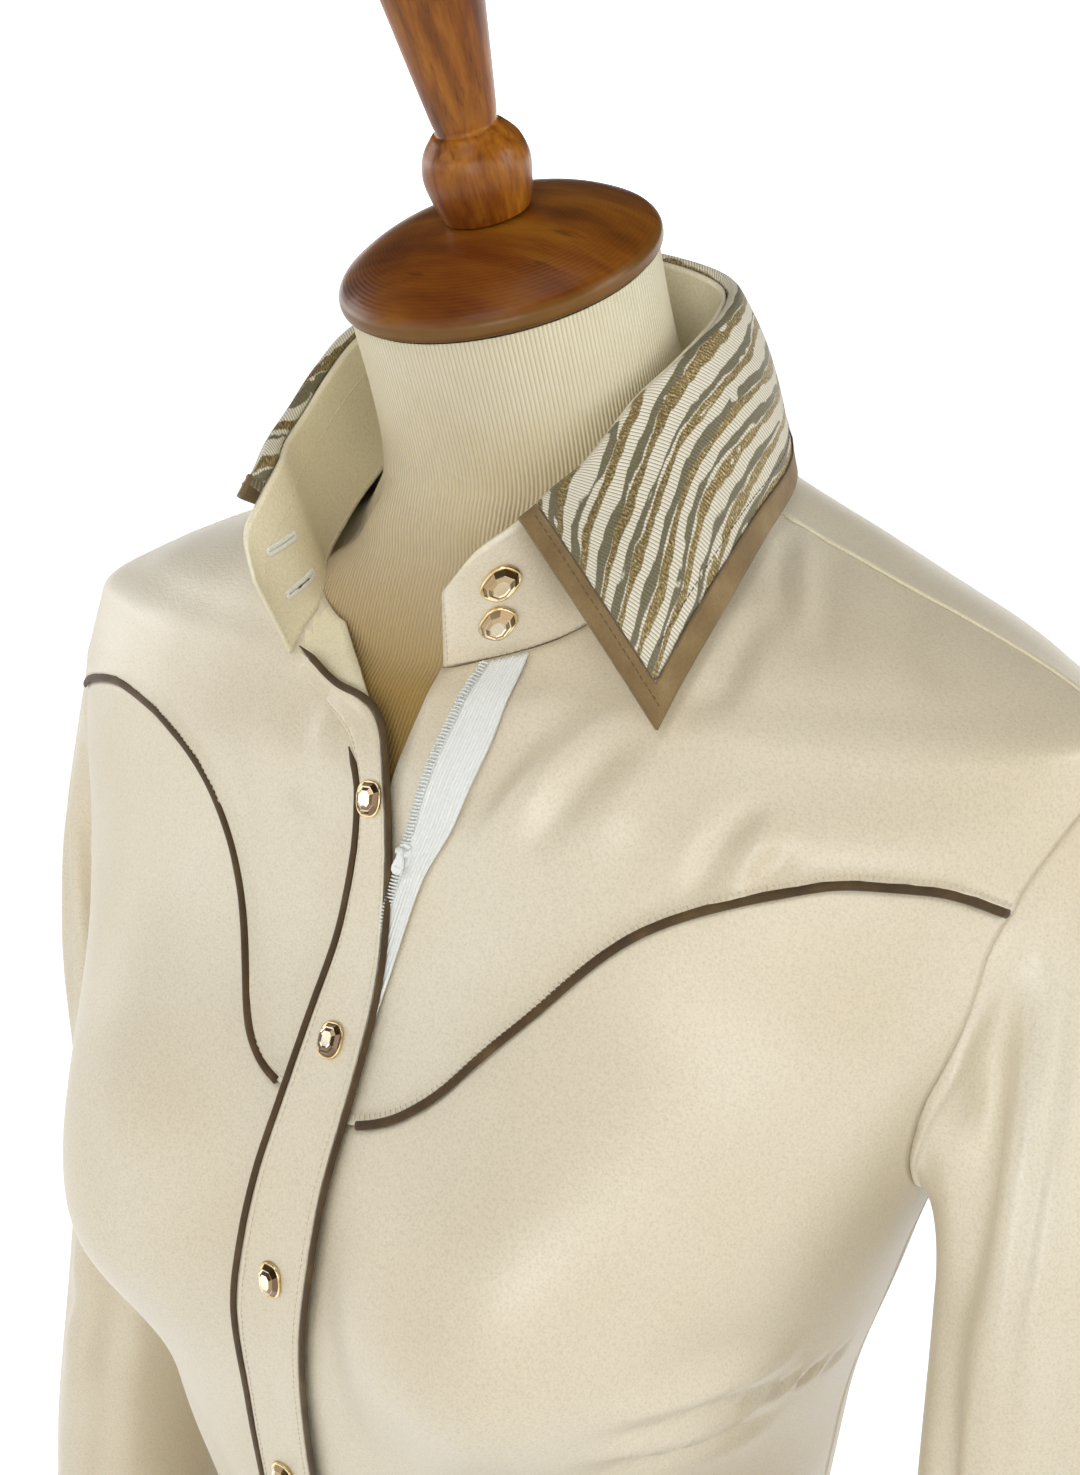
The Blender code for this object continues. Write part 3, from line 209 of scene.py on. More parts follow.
# Each side's sleeve, from the armhole down: height, x of its middle, y of its middle, half width in x, in y
SLEEVES = {
    1: (
        (0.19, 0.203, -0.012, 0.034, 0.064),
        (0.12, 0.2055, -0.016, 0.0345, 0.063),
        (0.05, 0.206, -0.022, 0.0335, 0.059),
        (-0.02, 0.205, -0.03, 0.032, 0.055),
        (-0.09, 0.203, -0.04, 0.031, 0.052),
        (-0.16, 0.2, -0.049, 0.031, 0.05),
        (-0.192, 0.1985, -0.053, 0.03, 0.047),
        (-0.2045, 0.198, -0.0545, 0.0285, 0.044),
    ),
    -1: (
        (0.19, 0.1895, 0.0, 0.027, 0.058),
        (0.12, 0.189, -0.003, 0.0285, 0.056),
        (0.05, 0.1925, -0.012, 0.0285, 0.0545),
        (-0.02, 0.194, -0.026, 0.0285, 0.053),
        (-0.09, 0.192, -0.038, 0.0275, 0.051),
        (-0.16, 0.1892, -0.049, 0.0272, 0.05),
        (-0.192, 0.188, -0.053, 0.0262, 0.047),
        (-0.2045, 0.1875, -0.0545, 0.0248, 0.044),
    ),
}
# How far each sleeve's head swells over the shoulder, as a share of its drop
SLEEVE_BULGE = {1: 0.3, -1: 0.27}
# Long soft folds in a sleeve: turn round it (0 inner side, 90 front, 180 outer side), depth, spread in
# degrees, the height where it is deepest, its reach up and down
SLEEVE_FOLDS = (
    (112, 0.0045, 16, 0.13, 0.15),
    (148, -0.003, 15, 0.06, 0.18),
    (60, 0.0035, 15, 0.02, 0.14),
    (230, 0.004, 17, 0.08, 0.16),
    (300, 0.003, 18, -0.06, 0.12),
)
# Each side's cuff: x, y, half width in x, half width in y, at its top and at its end
CUFFS = {1: ((0.198, -0.0555, 0.0285, 0.043), (0.197, -0.058, 0.028, 0.0425)),
         -1: ((0.1875, -0.0555, 0.0248, 0.043), (0.1865, -0.058, 0.0243, 0.0425))}

# The form under the shirt: height, distance in from the shirt's outer face
FORM_RINGS = (
    (-0.2, 0.0045), (-0.15, 0.0045), (-0.105, 0.005), (-0.07, 0.0052), (-0.04, 0.0054),
    (-0.016, 0.0056), (0.006, 0.0056), (0.028, 0.0054), (0.052, 0.005), (0.08, 0.0048), (0.115, 0.0048),
    (0.15, 0.0048), (0.18, 0.0048), (0.21, 0.005), (0.24, 0.0054), (0.27, 0.0054), (0.3, 0.005),
    (0.325, 0.0046), (0.343, 0.0046), (0.3555, 0.0048), (0.366, 0.0052), (0.376, 0.0058), (0.386, 0.0066),
    (0.396, 0.0078), (0.4055, 0.009),
)
# Its neck: distance under the neck's top, radius
NECK_TOP = 0.008  # from the cap's middle down the neck to that top
NECK_RINGS = ((0.064, 0.0572), (0.056, 0.0536), (0.044, 0.051), (0.025, 0.0494), (0.0, 0.049))
HOLLOW_FILL = 0.8  # how much of the hollow between chest and neck is filled at the centre front
HOLLOW_REACH = (36.0, 20.0)  # how far round the filling goes to the wearer's right and left, degrees

# Turned wood: radius and height of each profile, top to bottom
FINIAL = (
    (0.006, 0.123), (0.013, 0.1205), (0.0172, 0.113), (0.0182, 0.103), (0.0168, 0.08),
    (0.0142, 0.06), (0.0118, 0.042), (0.01, 0.029), (0.0094, 0.0255), (0.0112, 0.024),
    (0.0146, 0.02), (0.0162, 0.0155), (0.0164, 0.0115), (0.0154, 0.006), (0.0141, 0.0015), (0.0136, 0.0),
)
FINIAL_RISE = 0.0112  # of its foot over the cap's middle
CAP = (
    (0.014, 0.0103), (0.026, 0.0088), (0.038, 0.0052), (0.047, 0.0006), (0.0502, -0.0022),
    (0.051, -0.0046), (0.0506, -0.0066), (0.049, -0.0076),
)
POLE = (
    (0.015, 0.2695), (0.015, 0.245), (0.022, 0.238), (0.024, 0.23), (0.02, 0.222),
    (0.015, 0.214), (0.0165, 0.14), (0.02, 0.064), (0.029, 0.048), (0.032, 0.039), (0.03, 0.0283),
)
BASE = (
    (0.06, 0.028), (0.105, 0.025), (0.124, 0.0215), (0.131, 0.017), (0.137, 0.015),
    (0.14, 0.01), (0.139, 0.003), (0.1375, 0.0),
)


def smooth(table, at, column=1):
    """The column's value where the first column is `at`, on a curve that never overshoots its points."""
    rows = np.asarray(table, float)
    xs, ys = rows[:, 0], rows[:, column]
    at = np.clip(at, xs[0], xs[-1])
    step = np.diff(xs)
    rise = np.diff(ys) / step
    slope = np.concatenate([rise[:1], np.zeros(len(xs) - 2), rise[-1:]])
    same_way = rise[:-1] * rise[1:] > 0
    slope[1:-1][same_way] = 2 * (rise[:-1] * rise[1:])[same_way] / (rise[:-1] + rise[1:])[same_way]
    cell = np.clip(np.searchsorted(xs, at, side="right") - 1, 0, len(xs) - 2)
    part = (at - xs[cell]) / step[cell]
    return (
        ys[cell]
        + part * step[cell] * slope[cell]
        + part**2 * (3 * (ys[cell + 1] - ys[cell]) - step[cell] * (2 * slope[cell] + slope[cell + 1]))
        + part**3 * (2 * (ys[cell] - ys[cell + 1]) + step[cell] * (slope[cell] + slope[cell + 1]))
    )


def surface(turn, height):
    """Points of the shirt's outer face, at turns and heights over the waist."""
    turn, height = np.broadcast_arrays(np.asarray(turn, float), np.asarray(height, float))
    wide, front, back, power, side, tilt = (smooth(SECTIONS, height, column) for column in range(1, 7))
    sine, cosine = np.sin(np.radians(turn)), np.cos(np.radians(turn))
    x = wide * np.sign(sine) * np.abs(sine) ** (2 / power)
    in_front = cosine >= 0
    off = -np.sign(cosine) * np.where(in_front, front, back) * np.abs(cosine) ** (2 / power)
    spread = np.where(height > CUP["z"], CUP["up"], CUP["down"])
    aside = (np.abs(x) - CUP["x"]) / CUP["across"]
    cup = CUP["depth"] * np.exp(-(aside**2) - ((height - CUP["z"]) / spread) ** 2)
    off = off - np.where(in_front, cup * np.abs(cosine) ** 0.6, 0)
    tilt = np.radians(tilt)
    return np.stack([x, side + off * np.cos(tilt), WAIST + height + off * np.sin(tilt)], axis=-1)


def normal(turn, height):
    """Unit normals of that face, pointing away from the body."""
    across = surface(np.asarray(turn) + 0.4, height) - surface(np.asarray(turn) - 0.4, height)
    up = surface(turn, np.asarray(height) + 0.001) - surface(turn, np.asarray(height) - 0.001)
    out = np.cross(across, up)
    return out / np.linalg.norm(out, axis=-1, keepdims=True)


def on_shirt(turn, height, out=0.0):
    return surface(turn, height) + out * normal(turn, height)


def turn_at(x, height):
    """The front turn at which the surface lies at this x."""
    reach = np.clip(np.abs(x) / smooth(SECTIONS, height, 1), 0, 1)
    return np.sign(x) * np.degrees(np.arcsin(reach ** (smooth(SECTIONS, height, 4) / 2)))


# ---- curves and points ---------------------------------------------------------------------------
def spline(points, at):
    """The Catmull-Rom curve through the rows of `points`, at fractional row numbers."""
    points = np.asarray(points, float)
    last = len(points) - 1
    at = np.clip(np.asarray(at, float), 0, last)
    cell = np.minimum(at.astype(int), last - 1)
    part = (at - cell).reshape((-1,) + (1,) * (points.ndim - 1))
    at_start, at_end = ((cell == end).reshape(part.shape) for end in (0, last - 1))
    before = np.where(at_start, 2 * points[0] - points[1], points[np.maximum(cell - 1, 0)])
    after = np.where(at_end, 2 * points[-1] - points[-2], points[np.minimum(cell + 2, last)])
    start, end = points[cell], points[cell + 1]
    return 0.5 * (2 * start + (end - before) * part + (2 * before - 5 * start + 4 * end - after) * part**2
                  + (3 * start - before - 3 * end + after) * part**3)


def run_of(path):
    """Distance along the path at each of its points."""
    return np.concatenate([[0.0], np.cumsum(np.linalg.norm(np.diff(path, axis=0), axis=1))])


def at_runs(path, runs, values=None):
    """Points of the path, or values given at its points, at those distances along it."""
    run = run_of(path)
    values = path if values is None else values
    return np.stack([np.interp(runs, run, column) for column in values.T], axis=-1)


def nearest(points, path):
    """Each point's distance to the path, and how far along the path that is."""
    flat = points.reshape(-1, 3)
    best = np.full(len(flat), np.inf)
    along = np.zeros(len(flat))
    run = run_of(path)
    for index, (start, end) in enumerate(zip(path[:-1], path[1:])):
        way = end - start
        long = max(float(way @ way), 1e-12)
        part = np.clip((flat - start) @ way / long, 0, 1)
        apart = np.linalg.norm(flat - start - part[:, None] * way, axis=1)
        closer = apart < best
        best = np.where(closer, apart, best)
        along = np.where(closer, run[index] + part * (run[index + 1] - run[index]), along)
    return best.reshape(points.shape[:-1]), along.reshape(points.shape[:-1])


def unit(vectors):
    return vectors / np.maximum(np.linalg.norm(vectors, axis=-1, keepdims=True), 1e-12)


# ---- mesh makers ---------------------------------------------------------------------------------
def mesh_object(name, points, faces, finish, uv=None, soft=True):
    mesh = bpy.data.meshes.new(name)
    mesh.from_pydata(np.asarray(points).reshape(-1, 3).tolist(), [], faces)
    if uv is not None:
        mesh.uv_layers.new(name="UVMap").data.foreach_set("uv", np.asarray(uv, np.float32).ravel())
    if soft:
        mesh.shade_smooth()
    mesh.materials.append(finish)
    mesh.validate()
    obj = bpy.data.objects.new(name, mesh)
    bpy.context.scene.collection.objects.link(obj)
    return obj


def piece(obj, nodes):
    """The object rides on the shirt and form and stands for those nodes, which it hides."""
    if nodes:
        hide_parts(*nodes)
    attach(obj, "shirt_and_form")
    return obj


def grid_faces(count, across, closed=False, flip=False, keep=None):
    """Quads of a grid, and for each of their corners its row and column."""
    i, j = np.meshgrid(np.arange(count - 1), np.arange(across if closed else across - 1), indexing="ij")
    if keep is not None:
        chosen = keep(i, j)
        i, j = i[chosen], j[chosen]
    i, j = i.ravel(), j.ravel()
    rows = np.stack([i, i, i + 1, i + 1], axis=1)
    columns = np.stack([j, j + 1, j + 1, j], axis=1)
    if flip:
        rows, columns = rows[:, ::-1], columns[:, ::-1]
    return rows, columns


def ring_faces(count, sides, ends=(True, True), flip=False):
    """Quads between rings of points, and a face over the first and the last ring where `ends` says so."""
    row, column = grid_faces(count, sides, closed=True, flip=flip)
    faces = (row * sides + column % sides).tolist()
    if ends[0]:
        faces.append(list(reversed(range(sides))))
    if ends[1]:
        faces.append([(count - 1) * sides + k for k in range(sides)])
    return faces


def measured(rows, closed):
    """Distances along a grid's rows and columns. A closed grid gets its first column again at its end."""
    looped = np.concatenate([rows, rows[:, :1]], axis=1) if closed else rows
    count, across = looped.shape[:2]
    wide = np.cumsum(np.linalg.norm(np.diff(looped, axis=1), axis=2), axis=1)
    high = np.cumsum(np.linalg.norm(np.diff(looped, axis=0), axis=2), axis=0)
    return np.hstack([np.zeros((count, 1)), wide]), np.vstack([np.zeros((1, across)), high])


def cloth(name, rows, finish, thick=WALL, closed=False, flip=False, keep=None, inside=None):
    """A thin shell from rows of points on its outer face, with its cut's width and length as UVs."""
    rows = np.asarray(rows, float)
    count, across = rows.shape[:2]
    wide, high = measured(rows, closed)
    wide = wide - wide[:, wide.shape[1] // 2][:, None]
    row, column = grid_faces(count, across, closed, flip, keep)
    faces = (row * across + column % across).tolist()
    uv = np.stack([wide[row, column], high[row, column]], axis=-1)
    obj = mesh_object(name, rows, faces, finish, uv)
    wall = obj.modifiers.new("wall", "SOLIDIFY")
    wall.thickness = thick
    wall.offset = -1
    if inside is not None:
        obj.data.materials.append(inside)
        wall.material_offset = 1
        wall.material_offset_rim = 1
    return obj


def frames_along(path, ups):
    """Across and out directions for a path lying on a surface with those normals."""
    way = unit(np.gradient(path, axis=0))
    across = unit(np.cross(ups, way))
    return way, across, np.cross(way, across)


def circle(sides):
    """That many angles, evenly round a circle."""
    return 2 * math.pi * np.arange(sides) / sides


def tube(name, path, radius, finish, ups, sides=10, flat=1.0):
    """A round or flattened cord along a path, with closed ends."""
    _, across, up = frames_along(path, ups)
    angle = circle(sides)
    radius = np.broadcast_to(radius, len(path))
    ring = path[:, None] + radius[:, None, None] * (
        np.cos(angle)[None, :, None] * across[:, None] + flat * np.sin(angle)[None, :, None] * up[:, None])
    row, column = grid_faces(len(path), sides, closed=True)
    run = run_of(path)
    uv = np.stack([run[row], column * radius.mean() * 2 * math.pi / sides], axis=-1).reshape(-1, 2)
    uv = np.concatenate([uv, np.zeros((2 * sides, 2))])
    return mesh_object(name, ring, ring_faces(len(path), sides), finish, uv)


# ---- the panels' grids ---------------------------------------------------------------------------
FINE = 7  # fine rows for each of the solids' rows round an armhole
UNDER_ROWS = 100  # rows from the hem to the underarm
ARM_ROWS = 5 * FINE
YOKE_ARM_ROWS = 5 * FINE
SHOULDER_ROWS = 5 * FINE
SHARES = np.linspace(0, 1, 62)  # each column's place between a front's edge and its side
BACK_SHARES = np.linspace(-1, 1, 97)  # each column's place between the wearer's left and right side
UNDER_BAND = 0.0012  # from the band's edge in to the right front's edge below it
BESIDE_BAND = 0.0004  # from the band's edge in to the left front's edge
LEFT_STANDS_OPEN = 0.325  # height over which the left front's edge stays out at its open edge
SEAM_TRIES = 60  # rounds in which a yoke's seam settles on its curve
SEAM_START = 0.28  # height it starts from


def band_edge_x(height):
    """x of the band's right edge, which is also the free edge of the wearer's right front."""
    return smooth([(row[2], row[3]) for row in BAND], height)


def right_inner(height):
    """Turn of the right front's free edge: just inside the band's, and standing open above."""
    beside = band_edge_x(np.minimum(height, OPEN_RIGHT[0][0])) - UNDER_BAND
    return turn_at(np.where(height > OPEN_RIGHT[0][0], smooth(OPEN_RIGHT, height), beside), height)


def left_inner(height):
    """Turn of the left front's edge: beside the right front's below, and standing open above."""
    beside = band_edge_x(np.minimum(height, OPEN_LEFT[0][0])) - BESIDE_BAND
    beside = np.where(height > LEFT_STANDS_OPEN, np.maximum(beside, OPEN_LEFT[0][1]), beside)
    return turn_at(np.where(height > OPEN_LEFT[0][0], smooth(OPEN_LEFT, height), beside), height)


def right_armhole(height):
    return -smooth(ARMHOLE_FRONT_RIGHT, height)


def left_armhole(height):
    return smooth(ARMHOLE_FRONT_LEFT, height)


def spaced(middle, first_count, second_count):
    """A column of shares from 0 by way of middle to 1, with those numbers of steps."""
    second = np.linspace(middle, 1.0, second_count + 1)[1:]
    return np.concatenate([np.linspace(0.0, middle, first_count + 1), second])[:, None]


def seam_heights(shares, inner, outer, curve):
    """The heights at which the columns meet the yoke's curve."""
    heights = np.full(len(shares), SEAM_START)
    for _ in range(SEAM_TRIES):
        turns = inner(heights) + shares * (outer(heights) - inner(heights))
        heights = 0.5 * heights + 0.5 * smooth(curve, np.abs(turns))
    return heights


def lower_heights(shares, seam):
    """Heights of a panel below its yoke, from the hem up to the yoke's seam."""
    under = (UNDERARM - HEM - HEM_RISE) / (seam[-1] - HEM - HEM_RISE)
    hem = HEM + HEM_RISE * shares**2
    return hem + (seam - SEAM - hem) * spaced(under, UNDER_ROWS, ARM_ROWS)


def upper_heights(seam, neck_turn):
    """Heights of a yoke, from its seam up to the neckline at those turns."""
    tip = (SHOULDER_TIP - seam[-1]) / (smooth(NECKLINE, SIDE) - seam[-1])
    neck = smooth(NECKLINE, neck_turn) - SEAM
    return seam + SEAM + (neck - seam - SEAM) * spaced(tip, YOKE_ARM_ROWS, SHOULDER_ROWS)


def front_panels(side, inner, outer, curve):
    """The turns and heights of one front below and above its yoke's seam."""
    seam = seam_heights(SHARES, inner, outer, curve)
    lower = lower_heights(SHARES, seam)
    under_arm = side * SIDE_GAP * (lower < UNDERARM)
    lower_turn = inner(lower) + SHARES * (outer(lower) - under_arm - inner(lower))
    top = inner(OPEN_TOP[side])
    upper = upper_heights(seam, np.abs(top + SHARES * (side * SIDE - top)))
    start = inner(np.minimum(upper, OPEN_TOP[side]))
    end = np.where(upper > SHOULDER_TIP, side * (SIDE - SIDE_GAP), outer(upper))
    return (lower_turn, lower), (start + SHARES * (end - start), upper)


def back_panels():
    """The same for the back, from the wearer's left to the right."""

    def reach(height):
        return BACK - smooth(ARMHOLE_BACK, height)

    seam = seam_heights(BACK_SHARES, np.zeros_like, reach, YOKE_BACK)
    lower = lower_heights(BACK_SHARES, seam)
    lower_turn = BACK + BACK_SHARES * (reach(lower) - SIDE_GAP * (lower < UNDERARM))
    upper = upper_heights(seam, BACK - SIDE * np.abs(BACK_SHARES))
    upper_turn = BACK + BACK_SHARES * np.where(upper > SHOULDER_TIP, SIDE - SIDE_GAP, reach(upper))
    return (lower_turn, lower), (upper_turn, upper)


# ---- creases -------------------------------------------------------------------------------------
# Listed folds: turn and height of their start, middle and end, how far out (ridge) or in (trough) the
# cloth moves, and half their width
CREASES = (
    # from under the collar's leaf down the wearer's left shoulder and yoke
    (92.4, 0.4046, 70.6, 0.3977, 50.2, 0.3856, -0.0026, 0.0028),
    (91.6, 0.4018, 70.6, 0.3947, 52.0, 0.3829, 0.003, 0.0034),
    (87.8, 0.398, 70.8, 0.3921, 52.7, 0.3804, -0.0016, 0.003),
    (55.1, 0.392, 40.9, 0.38, 29.8, 0.3619, -0.003, 0.005),
    (87.1, 0.3947, 71.0, 0.3873, 53.4, 0.3732, 0.0014, 0.006),
    (86.9, 0.3878, 70.9, 0.3806, 60.6, 0.3685, -0.0014, 0.0055),
    (36.4, 0.3442, 34.4, 0.3348, 32.2, 0.315, -0.0034, 0.0045),
    (39.0, 0.3408, 36.4, 0.3303, 34.3, 0.313, 0.003, 0.0045),
    (40.1, 0.3326, 39.2, 0.3279, 38.4, 0.3216, -0.0016, 0.0036),
    # from the collar's point down to the placket
    (18.5, 0.362, 14.2, 0.3488, 8.5, 0.32, -0.0048, 0.0065),
    (20.1, 0.3579, 17.5, 0.3466, 12.9, 0.322, 0.0037, 0.007),
    (23.5, 0.3591, 20.4, 0.3441, 16.5, 0.32, -0.0037, 0.0065),
    (26.6, 0.3486, 23.2, 0.3381, 19.2, 0.318, 0.0023, 0.008),
    # beside the top of the placket
    (-7.2, 0.35, -5.9, 0.3395, -5.2, 0.33, 0.0027, 0.005),
    (-9.5, 0.326, -6.0, 0.3215, -3.6, 0.323, -0.0023, 0.006),
    (-16.0, 0.34, -12.0, 0.32, -10.0, 0.3, -0.0014, 0.009),
    # the hollow beside the placket, under the bust
    (7.3, 0.225, 6.8, 0.1877, 10.5, 0.13, -0.0027, 0.009),
    (-7.0, 0.21, -7.5, 0.175, -11.0, 0.12, -0.0016, 0.01),
    # side dart and the folds it throws, on each side
    (42.0, 0.174, 56.8, 0.172, 68.1, 0.1665, 0.0066, 0.007),
    (50.4, 0.168, 64.0, 0.157, 84.0, 0.144, -0.004, 0.0014),
    (40.4, 0.159, 54.0, 0.1537, 64.2, 0.15, 0.0062, 0.0048),
    (41.6, 0.148, 56.0, 0.1424, 68.9, 0.14, -0.0046, 0.005),
    (-42.0, 0.174, -55.8, 0.173, -67.1, 0.1675, 0.0042, 0.008),
    (-50.4, 0.169, -64.0, 0.158, -84.0, 0.145, -0.004, 0.0014),
    (-41.4, 0.16, -53.0, 0.1547, -63.2, 0.151, 0.0032, 0.006),
    (-42.6, 0.149, -57.0, 0.1414, -69.9, 0.139, -0.0029, 0.006),
    # waist darts, front and back
    (35.6, 0.17, 36.0, 0.07, 36.5, -0.06, -0.0021, 0.0017),
    (-35.6, 0.17, -36.0, 0.07, -36.5, -0.06, -0.0021, 0.0017),
    (146.0, 0.185, 146.0, 0.06, 146.0, -0.09, -0.0021, 0.0017),
    (214.0, 0.185, 214.0, 0.06, 214.0, -0.09, -0.0021, 0.0017),
    # long soft folds at the waist and hip
    (22.0, 0.11, 20.0, 0.05, 23.0, -0.02, -0.0022, 0.011),
    (50.0, 0.12, 54.0, 0.06, 52.0, -0.01, 0.0022, 0.01),
    (66.0, 0.09, 72.0, 0.03, 70.0, -0.05, -0.0025, 0.01),
    (28.0, -0.02, 25.0, -0.09, 26.0, -0.15, 0.0025, 0.012),
    (58.0, -0.04, 60.0, -0.1, 61.0, -0.15, -0.0022, 0.012),
    (-22.0, 0.11, -21.0, 0.04, -24.0, -0.03, -0.0022, 0.011),
    (-51.0, 0.11, -55.0, 0.05, -53.0, -0.02, 0.0022, 0.01),
    (-67.0, 0.08, -73.0, 0.02, -71.0, -0.06, -0.0025, 0.01),
    (-30.0, -0.03, -27.0, -0.1, -28.0, -0.155, 0.0025, 0.012),
    # the back: across the shoulders, from the armholes, and where it draws in at the waist
    (112.0, 0.275, 124.0, 0.256, 138.0, 0.235, -0.0027, 0.008),
    (111.0, 0.255, 120.0, 0.233, 132.0, 0.21, 0.0023, 0.008),
    (249.0, 0.27, 238.0, 0.25, 224.0, 0.228, -0.0027, 0.008),
    (250.0, 0.25, 240.0, 0.228, 229.0, 0.205, 0.0023, 0.008),
    (165.0, 0.15, 162.0, 0.07, 166.0, 0.01, -0.0025, 0.011),
    (178.0, 0.13, 180.0, 0.06, 177.0, -0.01, 0.0023, 0.012),
    (196.0, 0.155, 199.0, 0.08, 195.0, 0.0, -0.0025, 0.011),
    (128.0, 0.1, 124.0, 0.04, 127.0, -0.03, 0.0025, 0.01),
    (232.0, 0.105, 236.0, 0.035, 233.0, -0.04, 0.0025, 0.01),
    (150.0, 0.035, 165.0, 0.025, 178.0, 0.03, -0.0023, 0.008),
    (186.0, 0.015, 198.0, 0.005, 212.0, 0.012, -0.0021, 0.008),
    (155.0, -0.05, 158.0, -0.1, 156.0, -0.155, 0.0027, 0.012),
    (205.0, -0.05, 202.0, -0.1, 204.0, -0.15, -0.0027, 0.012),
    (140.0, 0.37, 150.0, 0.35, 158.0, 0.32, -0.002, 0.009),
    (221.0, 0.37, 211.0, 0.345, 204.0, 0.315, -0.002, 0.009),
)


def fold_points(row, count):
    """The two places, such as turn and height, at points along a fold."""
    return spline(np.reshape(row[:6], (3, 2)).astype(float), np.linspace(0, 2, count))


def crease_line(row):
    """Points along a fold on the undisturbed surface."""
    return surface(*fold_points(row, 13).T)


CREASE_LINES = [(crease_line(row), *row[6:]) for row in CREASES]
DIP = 0.35  # how deep the cloth dips beside a fold, as a share of it
DIP_WIDE = 2.2  # how wide that dip is, as a share of the fold's width
# Ripples beside a seam: length in metres over 2 pi, strength, start
PUCKERS = ((0.00175, 1.0, 0.0), (0.00107, 0.7, 1.3), (0.0031, 0.5, 0.4))
PUCKER_REACH = 0.0055  # how far beside the seam they go
# The finer ripples in the front band
BAND_PUCKERS = ((0.00165, 1.0, 0.0), (0.00098, 0.8, 0.7))
WAVE_HEIGHT = 0.00022


def creased(points, folds):
    """How far those folds move each point out."""
    lift = np.zeros(points.shape[:-1])
    for line, depth, wide in folds:
        apart, along = nearest(points, line)
        end = np.sin(np.pi * np.clip(along / run_of(line)[-1], 0, 1))
        dip = DIP * np.exp(-((apart / (DIP_WIDE * wide)) ** 2))
        lift += depth * end * (np.exp(-((apart / wide) ** 2)) - dip)
    return lift


def ripples(along, table):
    """Waves of several lengths on top of each other, at those distances along a seam."""
    return sum(strength * np.sin(along / long + start) for long, strength, start in table)


def puckers(points, seams):
    """Small ripples that sewing draws up beside a seam: each seam with its ripples' height."""
    lift = np.zeros(points.shape[:-1])
    for line, height in seams:
        apart, along = nearest(points, line)
        lift += height * ripples(along, PUCKERS) * np.exp(-((apart / PUCKER_REACH) ** 2))
    return lift


def waves(points):
    """The slight unevenness of cloth that hangs freely."""
    x, y, z = np.moveaxis(points, -1, 0)
    coarse = np.sin(61 * x + 23 * z + 1.0) * np.sin(47 * z - 17 * y + 0.6)
    fine = np.sin(131 * x - 37 * y + 2.0) * np.sin(83 * z + 41 * x)
    return WAVE_HEIGHT * (coarse + 0.7 * fine)


# ---- the panels ----------------------------------------------------------------------------------
right_lower, right_upper = front_panels(-1, right_inner, right_armhole, YOKE_RIGHT)
left_lower, left_upper = front_panels(1, left_inner, left_armhole, YOKE_LEFT)
back_lower, back_upper = back_panels()


def seam_line(lower):
    return surface(lower[0][-1], lower[1][-1] + SEAM)


def band_line(height_column, x_column):
    rows = np.asarray(BAND)
    heights = rows[:, height_column]
    return surface(turn_at(rows[:, x_column], heights), heights)


# Seams that pucker the cloth: the line and the ripples' height
SEAMS = (
    (seam_line(right_lower), 0.00012),
    (seam_line(left_lower), 0.00012),
    (seam_line(back_lower), 0.00012),
    (band_line(0, 1), 0.00014),
    (band_line(2, 3), 0.0001),
)
# How high a folded edge stands over its seam and how far that reaches: yokes' lower edge, shoulder seam
YOKE_LIP = (0.0013, 0.0032)
SHOULDER_LIP = (0.0006, 0.0035)
PIPING_OVER = 0.001  # from the cloth's face out to the piping's middle
PIPING_STEP = 0.0022
PIPING_FLAT = 0.6  # the piping's thickness as a share of its width


def lifted(turns, heights):
    """The shirt's outer face with its folds, its ripples beside the seams and its unevenness."""
    base, out = surface(turns, heights), normal(turns, heights)
    lift = creased(base, CREASE_LINES) + waves(base) + puckers(base, SEAMS)
    return base + out * lift[..., None], out


def lip(points, out, line, size):
    """How a folded edge stands over the seam that it holds."""
    height, reach = size
    apart, _ = nearest(points, line)
    return out * (height * np.exp(-((apart / reach) ** 2)))[..., None]


def panel(name, grid, flip, seam=None, facing=False):
    """A panel. With `facing`, its inner edge above the placket turns out the satin's wrong side."""
    turns, heights = grid
    points, out = lifted(turns, heights)
    if seam is not None:
        points = points + lip(points, out, seam, YOKE_LIP)
    if name == "back_yoke":
        for shoulder in (points[YOKE_ARM_ROWS:, 0], points[YOKE_ARM_ROWS:, -1]):
            points = points + lip(points, out, shoulder, SHOULDER_LIP)
    obj = cloth(name + "_cloth", points, satin, flip=flip, inside=satin_back)
    if facing:
        level = heights[:-1, :-1]
        turned_out = (points[:-1, :-1, 0] > band_edge_x(level)) & (level > OPEN_RIGHT[0][0])
        obj.data.polygons.foreach_set("material_index", turned_out.ravel().astype(np.int32))
    piece(obj, [name])
    return points, out


def yoke_piping(name, lower, start, end):
    """The piping under a yoke, from and to those distances inside its seam's ends."""
    points, out = lifted(lower[0][-1], lower[1][-1] + SEAM)
    seam = points + out * PIPING_OVER
    long = run_of(seam)[-1]
    runs = np.linspace(start, long - end, int(long / PIPING_STEP))
    path, ups = at_runs(seam, runs), unit(at_runs(seam, runs, out))
    for _ in range(4):
        path[1:-1] = (path[:-2] + 2 * path[1:-1] + path[2:]) / 4
    piece(tube(name + "_cord", path, PIPING_RADIUS, dark_taupe, ups, flat=PIPING_FLAT), [name])


# ---- band ----------------------------------------------------------------------------------------
BAND_SHARES = np.concatenate([[0, 0.02, 0.05, 0.09], np.linspace(0.14, 0.86, 15), [0.91, 0.95, 0.98, 1]])
BAND_COUNT = 230  # fine rows
